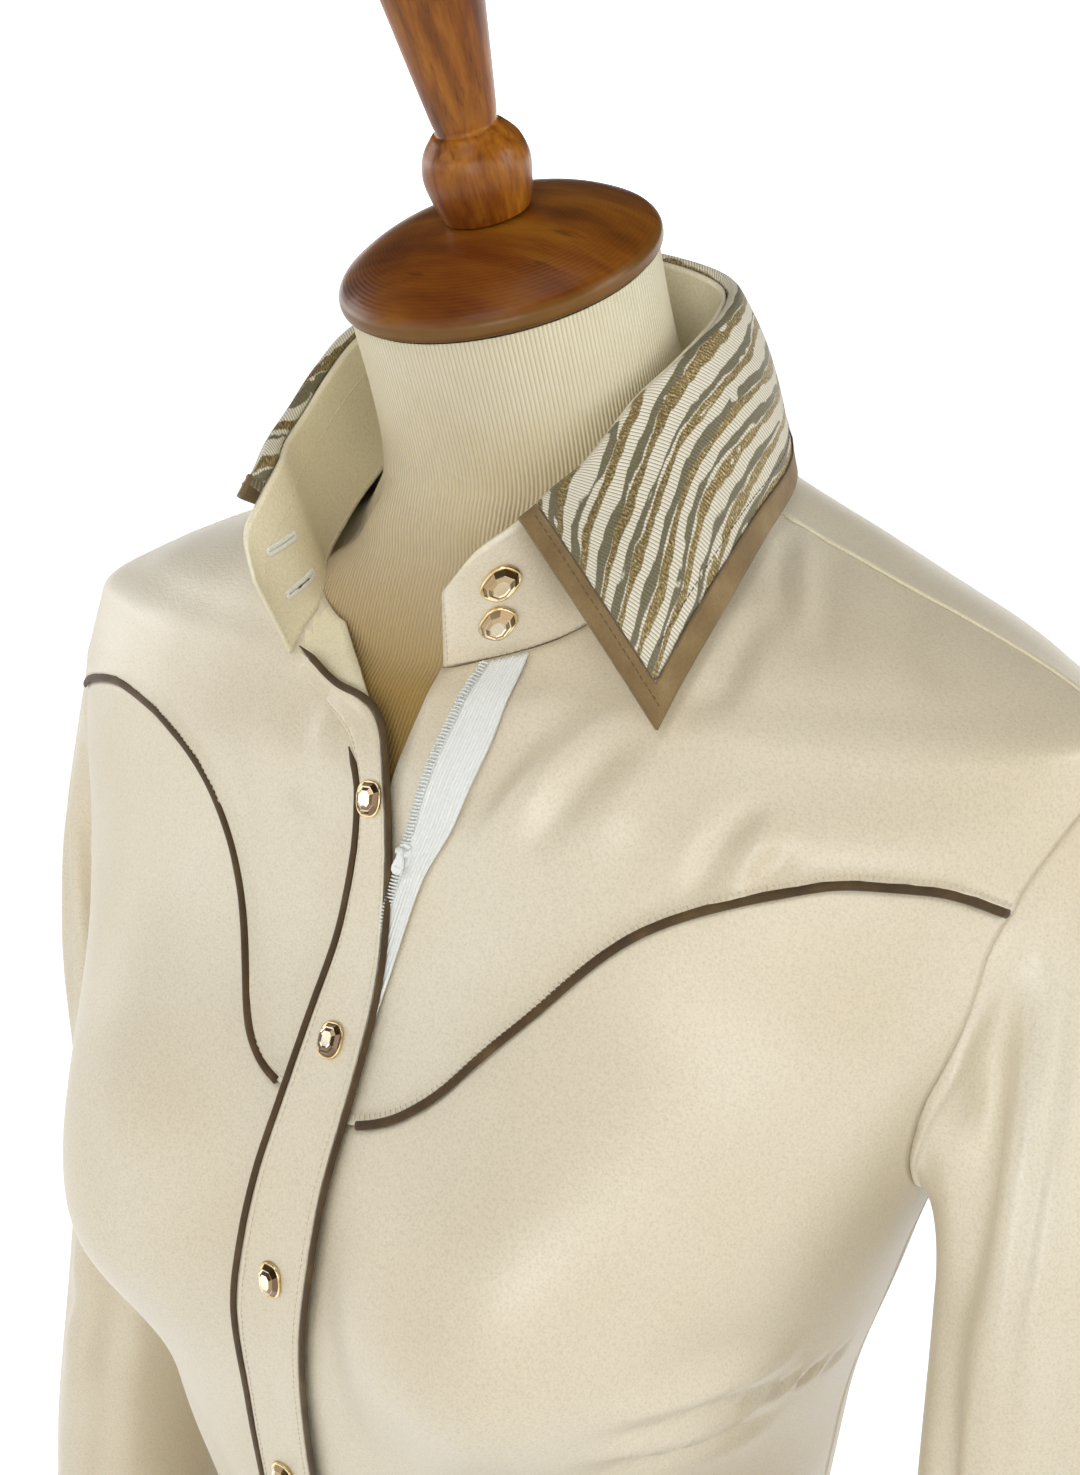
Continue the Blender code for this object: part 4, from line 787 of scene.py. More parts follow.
# Where the band is pressed down, at its edges and under its stitches: how deep, and how far inside and how
# wide as shares of its width
EDGE_DROP = (0.0006, 0.0, 0.035)
STITCH_DROP = (0.00025, 0.085, 0.03)
BAND_RIPPLE = (0.00008, 0.09, 0.07)  # the ripples' height, and the same two shares
BAND_TUCK_SIDE = (0.98, 0.35)  # share of the width from which it goes down, and over which
BAND_TUCK = (36, 22)  # rows from the upper end at which it goes down under the collar, and rows that takes
# The inner piping's dip into the band on its way to the collar: columns deep, middle row, half its rows
PIPING_DIP = (5.5, 214, 9)
PIPING_BESIDE = 0.0003  # from the band's edge out to the piping
PIPING_SINK = 0.0001
PIPING_TAPER = (7, 0.25)  # rows over which its end thins, and how thin it gets
PIPING_ENDS = 31  # rows from the upper end at which the outer piping ends


def band_grid():
    """Turns and heights of the band's rows."""
    rows = np.asarray(BAND)
    along = np.linspace(0, 1, len(rows))
    at = np.linspace(0, 1, BAND_COUNT)
    left, left_x, right, right_x = (smooth(np.column_stack([along, line]), at)[:, None] for line in rows.T)
    heights = left + BAND_SHARES * (right - left)
    return turn_at(left_x + BAND_SHARES * (right_x - left_x), heights), heights


def pressed(side, size):
    """A furrow along the band: `side` is each column's share of the width from the nearer edge."""
    depth, inside, wide = size
    return -depth * np.exp(-(((side - inside) / wide) ** 2))


def band():
    """The front band with its puckers, and the piping on its two edges."""
    turns, heights = band_grid()
    out = normal(turns, heights)
    points = on_shirt(turns, heights, BAND_LIFT + WALL)
    side = np.minimum(BAND_SHARES, 1 - BAND_SHARES)
    lift = pressed(side, EDGE_DROP) + pressed(side, STITCH_DROP)
    middle, last = len(BAND_SHARES) // 2, len(BAND_SHARES) - 1.0
    rows = np.arange(float(BAND_COUNT))
    tucked = np.clip((rows - (BAND_COUNT - BAND_TUCK[0])) / BAND_TUCK[1], 0, 1)[:, None]
    tuck_from, tuck_over = BAND_TUCK_SIDE
    lift = lift - (BAND_LIFT + WALL) * tucked**1.5 * np.clip((tuck_from - BAND_SHARES) / tuck_over, 0, 1)
    lift = lift - ripples(run_of(points[:, middle]), BAND_PUCKERS)[:, None] * pressed(side, BAND_RIPPLE)
    points = points + out * (lift + 0.5 * waves(points))[..., None]
    piece(cloth("placket_cloth", points, satin, inside=satin_back), ["placket"])
    dip, dip_row, dip_long = PIPING_DIP
    inner_column = last - dip * np.exp(-(((rows - dip_row) / dip_long) ** 2))
    for name, way, column, end in (("placket_piping_outer", 0, 0.0, BAND_COUNT - PIPING_ENDS),
                                   ("placket_piping_inner", -1, inner_column, BAND_COUNT)):
        path, ups = grid_path(points, out, rows, column)
        aside = unit(points[:, way] - points[:, middle])
        path = path + aside * (BAND_PIPING_RADIUS + PIPING_BESIDE) - ups * PIPING_SINK
        taper, thin = PIPING_TAPER
        thick = BAND_PIPING_RADIUS * np.clip((end - rows[:end]) / taper, thin, 1)
        cord = tube(name + "_cord", path[:end], thick, dark_taupe, ups[:end], flat=PIPING_FLAT)
        piece(cord, [name])
    return points, out


# ---- zip -----------------------------------------------------------------------------------------
TAPE_ROWS = 90
TAPE_COLUMNS = 43
TAPE_TOP = 0.001  # how far the tape goes on past its table
TAPE_BEND = (0.345, 0.022, 0.006)  # height where its top starts to bend up, over what length, how far
TAPE_RIBS = 7
TAPE_RIB = 0.00018
COIL_PITCH = 0.0011
COIL_STEPS = 10  # points for each turn of the wire
COIL_HALF = 0.0013
COIL_FLAT = 0.45
COIL_WIRE = 0.0003
COIL_INSET = 0.0012  # from the tape's inner edge
COIL_OVER = 0.0006  # from the tape's face out to the coil's middle


def zip_tape():
    """The zip's tape with its ribs, bent up at its top. Returns its rows."""
    share = np.linspace(0, 1, TAPE_COLUMNS)
    lift = TAPE_LIFT + TAPE_WALL + TAPE_RIB * np.abs(np.sin(TAPE_RIBS * np.pi * share))
    bend_from, bend_long, bend = TAPE_BEND
    rows = []
    for level in np.linspace(TAPE[0][0], TAPE[-1][0] + TAPE_TOP, TAPE_ROWS):
        inner, outer = (smooth(TAPE, level, column) for column in (1, 2))
        height = level + bend * max(0.0, (level - bend_from) / bend_long) ** 1.5 * share
        turn = turn_at(np.linspace(inner, outer, TAPE_COLUMNS), height)
        rows.append(on_shirt(turn, height, lift[:, None]))
    piece(cloth("zip_tape_cloth", rows, zip_white, thick=TAPE_WALL), ["zip_tape"])
    return np.array(rows)


def zip_coil(rows):
    """The zip's nylon coil along the tape's inner edge: a flattened spiral of one wire."""
    edge, ups = beside_edge(rows, outward(rows, (0, 0.1, 0)), "first column", COIL_INSET)
    long = run_of(edge)[-1]
    runs = np.linspace(0, long, int(long / COIL_PITCH) * COIL_STEPS)
    middle, out = at_runs(edge, runs), unit(at_runs(edge, runs, ups))
    across = unit(np.cross(out, np.gradient(middle, axis=0)))
    angle = 2 * math.pi * np.arange(len(runs))[:, None] / COIL_STEPS
    rise = COIL_OVER + COIL_FLAT * COIL_HALF * np.sin(angle)
    path = middle + COIL_HALF * np.cos(angle) * across + rise * out
    piece(tube("zip_coil", path, COIL_WIRE, zip_enamel, out, 5), [])


# ---- collar --------------------------------------------------------------------------------------
NECK_BEHIND = np.array([0.0, 0.004, 0.0])  # the neck's middle, from which the collar stands away
RAISED = 0.0012  # how far the fold's cloth rises past the fold
STAND_ROWS = 22
STAND_FOOT = (0.0011, 0.0004)  # how far the stand's foot goes down under its seam, and in
DROP_LIFT = (0.3, 0.003)  # a hanging seam stands off by that share of its drop, at most this far
# The leaf over its fold: rise and distance out at its start, on the way and where it has turned over
LEAF_TURN = ((RAISED, 0.0004), (0.003, 0.0021), (0.0028, LEAF_ROLL))
LEAF_SHARES = (0.14, 0.28, 0.42, 0.56, 0.7, 0.85, 1.0)  # of the way from there to its edge
LEAF_ARCH = 0.0015  # how far it rises in the middle of that way
LEAF_FINE = 60  # points on each column's curve
LEAF_COLUMNS = 190  # between the trims at its front ends
JOIN_THREAD = (0.0003, 0.00014)  # half thickness of the frayed line, and how uneven that is


def collar_points():
    """Seam, fold and outer edge of the collar's columns, their way up, and their way out from the neck."""
    turns, drop, tall, lean, slide, edge_height, edge_turn, stand_off = np.asarray(COLLAR).T
    neckline = smooth(NECKLINE, np.abs((turns + 180) % 360 - 180)) + SEAM_LIFT
    out = surface(turns, neckline) - NECK_BEHIND
    out[:, 2] = 0
    out = unit(out)
    along = unit(np.cross(NECK_AXIS, out))
    share, most = DROP_LIFT
    seam = on_shirt(turns, neckline - drop, np.minimum(drop * share, most)[:, None])
    lean = np.radians(lean)[:, None]
    rise = np.cos(lean) * NECK_AXIS + np.sin(lean) * out
    fold = seam + rise * tall[:, None] + along * slide[:, None]
    edge = on_shirt(edge_turn, edge_height, stand_off[:, None])
    return seam, fold, edge, rise, out


def fine_collar(first=0, last=len(COLLAR) - 1):
    """The same lines between two of the collar's columns, in fine columns."""
    at = np.linspace(first, last, (last - first) * COLLAR_FINE + 1)
    return [spline(points, at) for points in collar_points()]


def stand():
    """The neck band: upright from its seam, open in front."""
    seam, fold, _, rise, out = fine_collar()
    shares = np.linspace(0, 1, STAND_ROWS)[:, None, None]
    points = seam[None] + (fold + rise * RAISED - seam)[None] * shares
    down, back = STAND_FOOT
    return np.concatenate([(seam - rise * down - out * back)[None], points])


def leaf():
    """The leaf and its trim: rows from the fold down to the outer edge."""
    _, fold, edge, rise, out = fine_collar(LEAF_FIRST, LEAF_LAST)
    knots = [fold + rise * up + out * away for up, away in LEAF_TURN]
    turn_over = knots[-1]
    bow = (out * LEAF_BOW + rise * LEAF_ARCH) * 4
    knots += [turn_over + (edge - turn_over) * share + bow * share * (1 - share) for share in LEAF_SHARES]
    knots = np.array(knots)
    columns = []
    for index in range(knots.shape[1]):
        path = spline(knots[:, index], np.linspace(0, len(knots) - 1, LEAF_FINE))
        long = run_of(path)[-1]
        split = long - TRIM_WIDTH
        trim = np.linspace(split, long, TRIM_ROWS + 1)[1:]
        columns.append(at_runs(path, np.concatenate([np.linspace(0, split, LEAF_ROWS), trim])))
    fine = []
    for row in np.array(columns).transpose(1, 0, 2):
        long = run_of(row)[-1]
        split = long - TRIM_WIDTH
        fine.append(at_runs(row, np.concatenate([
            np.linspace(0, TRIM_WIDTH, TRIM_ROWS + 1),
            np.linspace(TRIM_WIDTH, split, LEAF_COLUMNS)[1:],
            np.linspace(split, long, TRIM_ROWS + 1)[1:],
        ])))
    return np.array(fine)


def grid_normals(rows):
    """Unit normals of a grid of points."""
    return unit(np.cross(np.gradient(rows, axis=1), np.gradient(rows, axis=0)))


def collar():
    """The neck band, the leaf and its trim. Returns the band's rows, and the leaf's with their way out."""
    stand_rows = stand()
    # painted light: the neck band takes a lighter copy of the satin
    made = cloth("collar_stand_cloth", stand_rows, painted_light_stand_satin, flip=True, inside=satin_back)
    piece(made, ["collar_stand"])
    rows = leaf()
    across = rows.shape[1]

    def in_trim(i, j):
        return (i >= LEAF_ROWS - 1) | ((i >= 3) & ((j < TRIM_ROWS) | (j >= across - 1 - TRIM_ROWS)))

    def in_leaf(i, j):
        return (i < LEAF_ROWS) & (j >= TRIM_ROWS - 1) & (j < across - TRIM_ROWS)

    out = grid_normals(rows)
    piece(cloth("collar_trim_cloth", rows + out * TRIM_LIFT, taupe, keep=in_trim), ["collar_trim"])
    piece(cloth("collar_leaf_cloth", rows, jacquard, keep=in_leaf), ["collar_leaf"])
    return stand_rows, rows, out


def collar_sewing(rows, out):
    """Stitch lines on the trim and in the leaf, and the frayed dark line where the two meet."""
    join_row = LEAF_ROWS - 1
    count, across = rows.shape[:2]
    raised = rows + out * TRIM_LIFT
    inner = across - 1 - TRIM_ROWS
    aside = TRIM_ROWS * 0.6
    down = np.arange(4.0, count - 1)
    sew("stitches_trim", "taupe", brown_thread,
        *[grid_path(raised, out, down, column) for column in (aside, across - 1 - aside)])
    columns = np.arange(TRIM_ROWS + 4.0, inner - 3)
    sew("stitches_leaf", "jacquard", brown_thread, grid_path(rows, out, join_row - 3.0, columns))
    down, along = np.arange(4.0, join_row), np.arange(float(TRIM_ROWS), inner)
    stretches = [grid_path(raised, out, *stretch)
                 for stretch in ((down, TRIM_ROWS), (join_row, along), (down[::-1], inner))]
    join, ups = (np.concatenate(values) for values in zip(*stretches))
    run = run_of(join)
    thick, uneven = JOIN_THREAD
    ragged = thick + uneven * np.sin(run / 0.0011) * np.sin(run / 0.0037 + 1)
    piece(tube("collar_join_thread", join, ragged, brown_thread, ups, 6, 0.7), [])


# ---- sleeves -------------------------------------------------------------------------------------
ARMHOLE_OUT = 0.0002  # from the armhole out to the sleeve's first ring
ARMHOLE_IN = 0.0005  # and how far that ring lies under the cloth's face
SLEEVE_COUNT = 20 * FINE
SLEEVE_CAP_ROWS = 56
SLEEVE_ROWS = 84
SLEEVE_TIP = 50.0  # how far round from its top the head swells straight outwards, degrees
# How a sleeve's head leaves the armhole. On its inner side it goes straight away from it by this share and
# also this way, for the wearer's left. On its outer side it sinks a little.
HEAD_AWAY = 0.25
HEAD_INNER = np.array([0.6, 0.0, -0.5])
HEAD_SINK = 0.08
# How far it swells on its inner side, and how far it comes straight down on the arm there and on its outer
# side in addition, as shares of its drop
HEAD_BULGE = 0.18
HEAD_LAND = 0.3
HEAD_LAND_OUTER = 0.12
SLEEVE_HELD = (0.03, 0.02)  # share of its rows over which the folds start and end
# The rolled seam at the sleeve's head: height, its middle and width as shares of the rows, where it starts
HEAD_ROLL = (0.0011, 0.028, 0.02, 0.012)
CUFF_ROWS = 26
CUFF_SWELL = 0.0004
CUFF_UNDER = 0.0003  # from the cuff's top down to its first ring


def armhole_loop(side, *stretches):
    """The armhole from the underarm up the front, over the tip and down the back, and its way out."""
    turns, heights = (np.concatenate(values) for values in zip(*stretches))
    places, out = surface(turns, heights), normal(turns, heights)
    along = np.roll(places, -1, axis=0) - np.roll(places, 1, axis=0)
    away = unit(np.cross(along, out) * side)
    return places + away * ARMHOLE_OUT - out * ARMHOLE_IN, away


def level_ring(side, turns, height, x, y, half_x, half_y):
    """An oval level ring. turns: 0 inner side, 90 front, 180 outer side."""
    angle = np.radians(turns)
    x = side * (x - half_x * np.cos(angle))
    return np.column_stack([x, y - half_y * np.sin(angle), np.full(len(turns), WAIST + height)])


def sleeve_section(height, turns, side):
    """A level ring of the sleeve, with its long soft folds."""
    x, y, half_x, half_y = (smooth(SLEEVES[side][::-1], height, column) for column in range(1, 5))
    dent = np.zeros(len(turns))
    for where, depth, spread, deepest, reach in SLEEVE_FOLDS:
        apart = (turns - where + 180) % 360 - 180
        dent += depth * np.exp(-((apart / spread) ** 2) - ((height - deepest) / reach) ** 2)
    return level_ring(side, turns, height, x, y, half_x - dent, half_y - dent)


# More folds in each sleeve: turn round it and height over the waist at their start, middle and end, how far
# the cloth moves out, half their width
SLEEVE_CREASES = (
    # from the front of the armhole down the inner side
    (84, 0.308, 62, 0.264, 59, 0.205, -0.0095, 0.0075),
    (59, 0.225, 57, 0.15, 63, 0.07, -0.0065, 0.0085),
    (86, 0.306, 75, 0.265, 75, 0.19, 0.0042, 0.007),
    (74, 0.21, 78, 0.13, 72, 0.06, 0.0036, 0.009),
    # the long sharp one down the front
    (104, 0.306, 88, 0.247, 93, 0.15, -0.0022, 0.0024),
    (93, 0.17, 96, 0.09, 90, 0.02, -0.0012, 0.0026),
    (108, 0.296, 98, 0.24, 101, 0.16, 0.0012, 0.006),
    # under the arm
    (50, 0.268, 55, 0.25, 58, 0.215, 0.0016, 0.0045),
    (300, 0.25, 290, 0.19, 296, 0.11, -0.0026, 0.009),
    (262, 0.29, 250, 0.22, 254, 0.14, -0.0022, 0.009),
    (240, 0.28, 228, 0.2, 232, 0.11, 0.0018, 0.009),
    # over the outer side and down to the elbow
    (150, 0.25, 144, 0.18, 140, 0.11, 0.0018, 0.009),
    (172, 0.18, 176, 0.11, 168, 0.04, -0.0016, 0.01),
    (75, 0.06, 100, 0.036, 130, 0.024, -0.0022, 0.008),
    (110, 0.035, 86, 0.008, 60, -0.01, 0.0018, 0.0085),
    (70, 0.01, 92, -0.016, 124, -0.026, -0.0018, 0.008),
    (180, 0.04, 212, 0.022, 244, 0.014, 0.0018, 0.009),
    (196, 0.0, 226, -0.014, 258, -0.01, -0.0018, 0.008),
    # the forearm
    (60, -0.06, 90, -0.08, 120, -0.088, -0.0018, 0.0085),
    (150, -0.11, 122, -0.128, 95, -0.14, 0.0016, 0.008),
    (214, -0.08, 232, -0.12, 224, -0.165, -0.0018, 0.0085),
    (20, -0.09, 30, -0.13, 24, -0.17, 0.0014, 0.008),
    (118, -0.16, 121, -0.185, 119, -0.2, -0.0014, 0.005),
    (250, -0.16, 247, -0.185, 249, -0.2, -0.0014, 0.005),
)


def outward(rows, middle):
    """The grid's normals, turned to point away from that middle."""
    out = grid_normals(rows)
    away = np.asarray(rows) - np.asarray(middle, float)
    away[..., 2] = 0
    return out * np.sign(np.mean(np.einsum("ijk,ijk->ij", out, away)))


def closed_run(path, ups):
    """The path with its first point again at its end."""
    return np.concatenate([path, path[:1]]), np.concatenate([ups, ups[:1]])


def sleeve_rows(side, turns, loop, away):
    """Rings from the armhole over the head and down the arm, before any crease."""
    heights = [row[0] for row in SLEEVES[side]]
    target = sleeve_section(heights[0], turns, side)
    high = ((1 - np.cos(np.radians(turns))) / 2)[:, None]  # 0 on the inner side, 1 on the outer side
    reach = np.linalg.norm(target - loop, axis=1)[:, None]
    tip = np.exp(-(((turns - 180) / SLEEVE_TIP) ** 4))[:, None]
    away = unit(away - tip * away * np.array([0.0, 1.0, 0.0]))
    inner = HEAD_INNER * (side, 1, 1)
    way = unit(away * (HEAD_AWAY + (1 - HEAD_AWAY) * high) + inner * (1 - high) - HEAD_SINK * high * UPWARD)
    first = loop + way * reach * (HEAD_BULGE + (SLEEVE_BULGE[side] - HEAD_BULGE) * high)
    second = target + UPWARD * reach * (HEAD_LAND + HEAD_LAND_OUTER * high)
    rows = [(1 - part) ** 3 * loop + 3 * part * (1 - part) ** 2 * first
            + 3 * part**2 * (1 - part) * second + part**3 * target
            for part in np.linspace(0, 1, SLEEVE_CAP_ROWS + 1)]
    rows += [sleeve_section(height, turns, side)
             for height in np.linspace(heights[0], heights[-1], SLEEVE_ROWS + 1)[1:]]
    return np.array(rows)


def sleeve_folds(side, rows):
    """The sleeve's creases as lines on its rings."""
    folds = []
    for fold in SLEEVE_CREASES:
        line = []
        for where, height in fold_points(fold, 11):
            column = int((where + 3 * side) / 360 * SLEEVE_COUNT) % SLEEVE_COUNT
            row = int(np.argmin(np.abs(rows[:, column, 2] - WAIST - height)))
            line.append(rows[row, column])
        folds.append((np.array(line), *fold[6:]))
    return folds


def sleeve(side, label, turns, loop, away):
    rows = sleeve_rows(side, turns, loop, away)
    wrapped = np.concatenate([rows[:, -1:], rows, rows[:, :1]], axis=1)
    out = grid_normals(wrapped)[:, 1:-1] * -side
    share = np.linspace(0, 1, len(rows))
    start, end = SLEEVE_HELD
    held = np.clip(share / start, 0, 1) * np.clip((1 - share) / end, 0, 1)
    lift = (creased(rows, sleeve_folds(side, rows)) + waves(rows)) * held[:, None]
    height, middle, wide, start = HEAD_ROLL
    roll = height * np.exp(-(((share - middle) / wide) ** 2)) * np.clip(share / start, 0, 1)
    rows = rows + out * (lift + roll[:, None])[..., None]
    made = cloth(f"sleeve_{label}_cloth", rows, satin, closed=True, flip=side > 0, inside=satin_back)
    piece(made, [f"sleeve_{label}"])


def cuff(side, label, turns):
    """The cuff, swelling a little between its top and its end. Returns its rows."""
    top, end = np.asarray(CUFFS[side])
    rows = []
    for share in np.linspace(0, 1, CUFF_ROWS):
        x, y, half_x, half_y = (1 - share) * top + share * end
        height = CUFF_TOP - CUFF_UNDER + share * (CUFF_END - CUFF_TOP)
        soft = CUFF_SWELL * np.sin(3 * np.radians(turns) + 0.7) * math.sin(math.pi * share)
        rows.append(level_ring(side, turns, height, x, y, half_x + soft, half_y + soft))
    made = cloth(f"cuff_{label}_cloth", rows, satin, closed=True, flip=side > 0, inside=satin_back)
    piece(made, [f"cuff_{label}"])
    return np.array(rows)


# ---- dress form ----------------------------------------------------------------------------------
FORM_COLUMNS = 160
FORM_ROWS = 170
TURNED_SEGMENTS = 112
TURNED_STEPS = 6  # fine steps between two points of a profile


def fill_hollow(rings, turns):
    """The rings with the foot of the neck filled out in front, where the collar stands open."""
    away = (turns + 180) % 360 - 180
    reach = np.where(away < 0, *HOLLOW_REACH)
    round_front = (HOLLOW_FILL * np.exp(-((away / reach) ** 4)))[:, None]
    first, last = len(FORM_RINGS) - 5, len(rings) - 3
    for index in range(first + 1, last):
        share = (index - first) / (last - first)
        straight = (1 - share) * rings[first] + share * rings[last]
        rings[index] += round_front * (straight - rings[index])
    return rings


def form_torso():
    """The padded form and its leaning neck, in ribbed jersey."""
    turns = np.linspace(0, 360, FORM_COLUMNS, endpoint=False)
    rings = [on_shirt(turns, height, -ease) for height, ease in FORM_RINGS]
    top = CAP_CENTRE - NECK_AXIS * NECK_TOP
    angle = np.radians(turns)[:, None]
    round_neck = np.sin(angle) * np.array([1.0, 0.0, 0.0]) - np.cos(angle) * NECK_BACK
    rings += [top - NECK_AXIS * below + radius * round_neck for below, radius in NECK_RINGS]
    rings = fill_hollow(np.array(rings), turns)
    rings = spline(rings, np.linspace(0, len(rings) - 1, FORM_ROWS))
    foot = np.broadcast_to(rings[0].mean(axis=0), (1, len(turns), 3))
    rings = np.concatenate([foot, rings])
    row, column = grid_faces(len(rings), FORM_COLUMNS, closed=True)
    wide, high = measured(rings, True)
    past_back = (column.min(axis=1) >= FORM_COLUMNS // 2)[:, None]
    uv = np.stack([wide[row, column] - past_back * wide[row, -1], high[row, column]], axis=-1)
    faces = ring_faces(len(rings), FORM_COLUMNS, (False, False))
    return piece(mesh_object("form_jersey", rings, faces, jersey, uv), ["form_torso"])


def turned(name, node, profile, finish, place=(0, 0, 0), lean=0.0):
    """A lathe-turned solid: its profile, rounded between its points, from top to bottom."""
    profile = np.array(profile)
    steps = TURNED_STEPS * (len(profile) - 1) + 1
    top, bottom = profile[0], profile[-1]
    rounded = spline(profile, np.linspace(0, len(profile) - 1, steps))
    fine = np.concatenate([[top * (0, 1), top * (0.5, 1)], rounded, [bottom * (0, 1)]])
    angle = circle(TURNED_SEGMENTS)
    radius, height = fine[:, :1], np.repeat(fine[:, 1:], TURNED_SEGMENTS, 1)
    rings = np.stack([radius * np.cos(angle), radius * np.sin(angle), height], axis=-1)
    faces = ring_faces(len(fine), TURNED_SEGMENTS, (False, False), flip=True)
    obj = mesh_object(name, rings, faces, finish)
    obj.location = place
    obj.rotation_euler = (math.radians(lean), 0, 0)
    piece(obj, [node])


# ---- sewing --------------------------------------------------------------------------------------
STITCH_SIDES = 5
# One stitch: share of its length, rise in radii
STITCH_ARC = np.array([(0.0, -0.9), (0.16, 0.35), (0.5, 0.75), (0.84, 0.35), (1.0, -0.9)])
STITCH_START = 0.0004  # from a run's start to its first stitch
BAR_ENDS = 0.0005  # how far a felling stitch reaches past its length at each end


def stitch_mesh(name, runs, finish, long=0.0017, gap=0.0006, radius=0.00017, lift=0.0):
    """Rows of machine stitches as one mesh. Each run is a path and the outward directions at its points."""
    points = []
    angle = circle(STITCH_SIDES)[:, None]
    share, rise = STITCH_ARC.T
    for path, ups in runs:
        starts = np.arange(STITCH_START, run_of(path)[-1] - long, long + gap)
        spots = starts[:, None] + long * share
        middle, out = at_runs(path, spots), unit(at_runs(path, spots, ups))
        way = unit(np.repeat(middle[:, -1:] - middle[:, :1], len(share), axis=1))
        across = unit(np.cross(out, way))
        middle = middle + out * (radius * rise[None, :, None] + lift)
        ring = np.cos(angle) * across[:, :, None] + np.sin(angle) * out[:, :, None]
        points.append((middle[:, :, None] + radius * ring).reshape(-1, len(share) * STITCH_SIDES, 3))
    points = np.concatenate(points)
    one = np.array(ring_faces(len(share), STITCH_SIDES, (False, False)))
    faces = one[None] + points.shape[1] * np.arange(len(points))[:, None, None]
    return mesh_object(name, points, faces.reshape(-1, 4).tolist(), finish)


def beside_edge(points, out, edge, inset, last=None):
    """The path that runs `inset` inside one edge of a grid, with the outward directions along it."""
    grid = np.concatenate([np.asarray(points), np.asarray(out)], axis=-1)
    if edge.endswith("column"):
        grid = grid.swapaxes(0, 1)
    if edge.startswith("last"):
        grid = grid[::-1]
    path = np.array([at_runs(line[:, :3], inset, line) for line in grid.swapaxes(0, 1)[:last]])
    return path[:, :3], unit(path[:, 3:])


def sew(name, slot, finish, *runs, **sizes):
    """Rows of stitches that lie on a cloth piece."""
    piece(stitch_mesh(name, runs, finish, **sizes), [])


def bar_runs(path, ups, apart, long):
    """Short runs across a path: the stitches of a hand-felled edge."""
    spots = np.arange(apart, run_of(path)[-1] - apart, apart)
    out = unit(at_runs(path, spots, ups))
    way = unit(at_runs(path, spots, np.gradient(path, axis=0)))
    half = unit(np.cross(out, way)) * (long / 2 + BAR_ENDS)
    return [(np.array([spot - side, spot + side]), np.array([up, up]))
            for spot, side, up in zip(at_runs(path, spots), half, out)]


def grid_path(rows, out, row=None, column=None):
    """A path over a grid of points at fractional rows and columns, with the outward directions."""
    rows, out = np.asarray(rows), np.asarray(out)
    count, across = rows.shape[:2]
    row = np.arange(count) if row is None else row
    column = np.arange(across) if column is None else column
    row, column = np.broadcast_arrays(np.asarray(row, float), np.asarray(column, float))
    i, j = np.clip(row.astype(int), 0, count - 2), np.clip(column.astype(int), 0, across - 2)
    a, b = (row - i)[:, None], (column - j)[:, None]

    def blend(values):
        return ((1 - a) * (1 - b) * values[i, j] + (1 - a) * b * values[i, j + 1]
                + a * (1 - b) * values[i + 1, j] + a * b * values[i + 1, j + 1])
    return blend(rows), unit(blend(out))


# ---- snaps ---------------------------------------------------------------------------------------
SNAP_SEGMENTS = 40
STONE_SIDES = 8
# Bezel: share of the half width, share of the rise
BEZEL = ((0.92, 0.02), (1.0, 0.14), (1.01, 0.32), (0.96, 0.46), (0.91, 0.4))
# Stone: share of the half width, share of the rise
STONE = ((0.93, 0.38), (0.72, 0.84), (0.64, 0.8), (0.46, 1.0), (0.38, 0.95))
STONE_PAINTED_GLINT = (0.24, 0.66, 0.3, 0.66, 0.56)  # painted reflections: how bright the facets between its rings and its flat top are painted
FACET_PAINTED_GLINT = 0.4  # how much painted reflection a single facet adds
SNAP_SINK = 0.0001  # how far the foot goes into the cloth


def oval(count, half_wide, half_high, shift=0.0, power=2.5):
    """Corners of a squarish oval."""
    angle = 2 * math.pi * (np.arange(count) + shift) / count
    sine, cosine = np.sin(angle), np.cos(angle)
    return np.stack([half_wide * np.sign(cosine) * np.abs(cosine) ** (2 / power),
                     half_high * np.sign(sine) * np.abs(sine) ** (2 / power)], axis=-1)


def snap(name, place, out, size, tilt):
    """A pearl-snap cap: a gilt bezel with a rolled rim, and a stone cut in steps set in it."""
    half_wide, half_high, rise = size
    level = unit(np.cross(UPWARD, out))
    upright = np.cross(out, level)
    sine, cosine = math.sin(math.radians(tilt)), math.cos(math.radians(tilt))
    across, up = cosine * level + sine * upright, cosine * upright - sine * level

    def rings(profile, sides, shift=0.0):
        flats = [oval(sides, half_wide * share, half_high * share, shift) for share, _ in profile]
        return np.array([place + flat[:, :1] * across + flat[:, 1:] * up + rise * lift * out
                         for flat, (_, lift) in zip(flats, profile)])

    faces = ring_faces(len(BEZEL), SNAP_SEGMENTS)
    piece(mesh_object(name + "_bezel", rings(BEZEL, SNAP_SEGMENTS), faces, gilt), [name])
    facets = ring_faces(len(STONE), STONE_SIDES, (False, True))
    stone = mesh_object(name + "_stone", rings(STONE, STONE_SIDES, 0.5), facets, crystal, soft=False)
    # painted reflections: a brightness for each facet, which the stone's finish turns into its colour
    ring_glint = np.append(np.repeat(STONE_PAINTED_GLINT[:-1], STONE_SIDES), STONE_PAINTED_GLINT[-1])
    own_glint = np.abs(np.sin(12.9898 * (np.arange(len(facets)) + 1.0)))
    painted_glint = stone.data.attributes.new("facet", "FLOAT", "FACE")
    painted_glint.data.foreach_set("value", ring_glint + FACET_PAINTED_GLINT * own_glint)
    piece(stone, [])


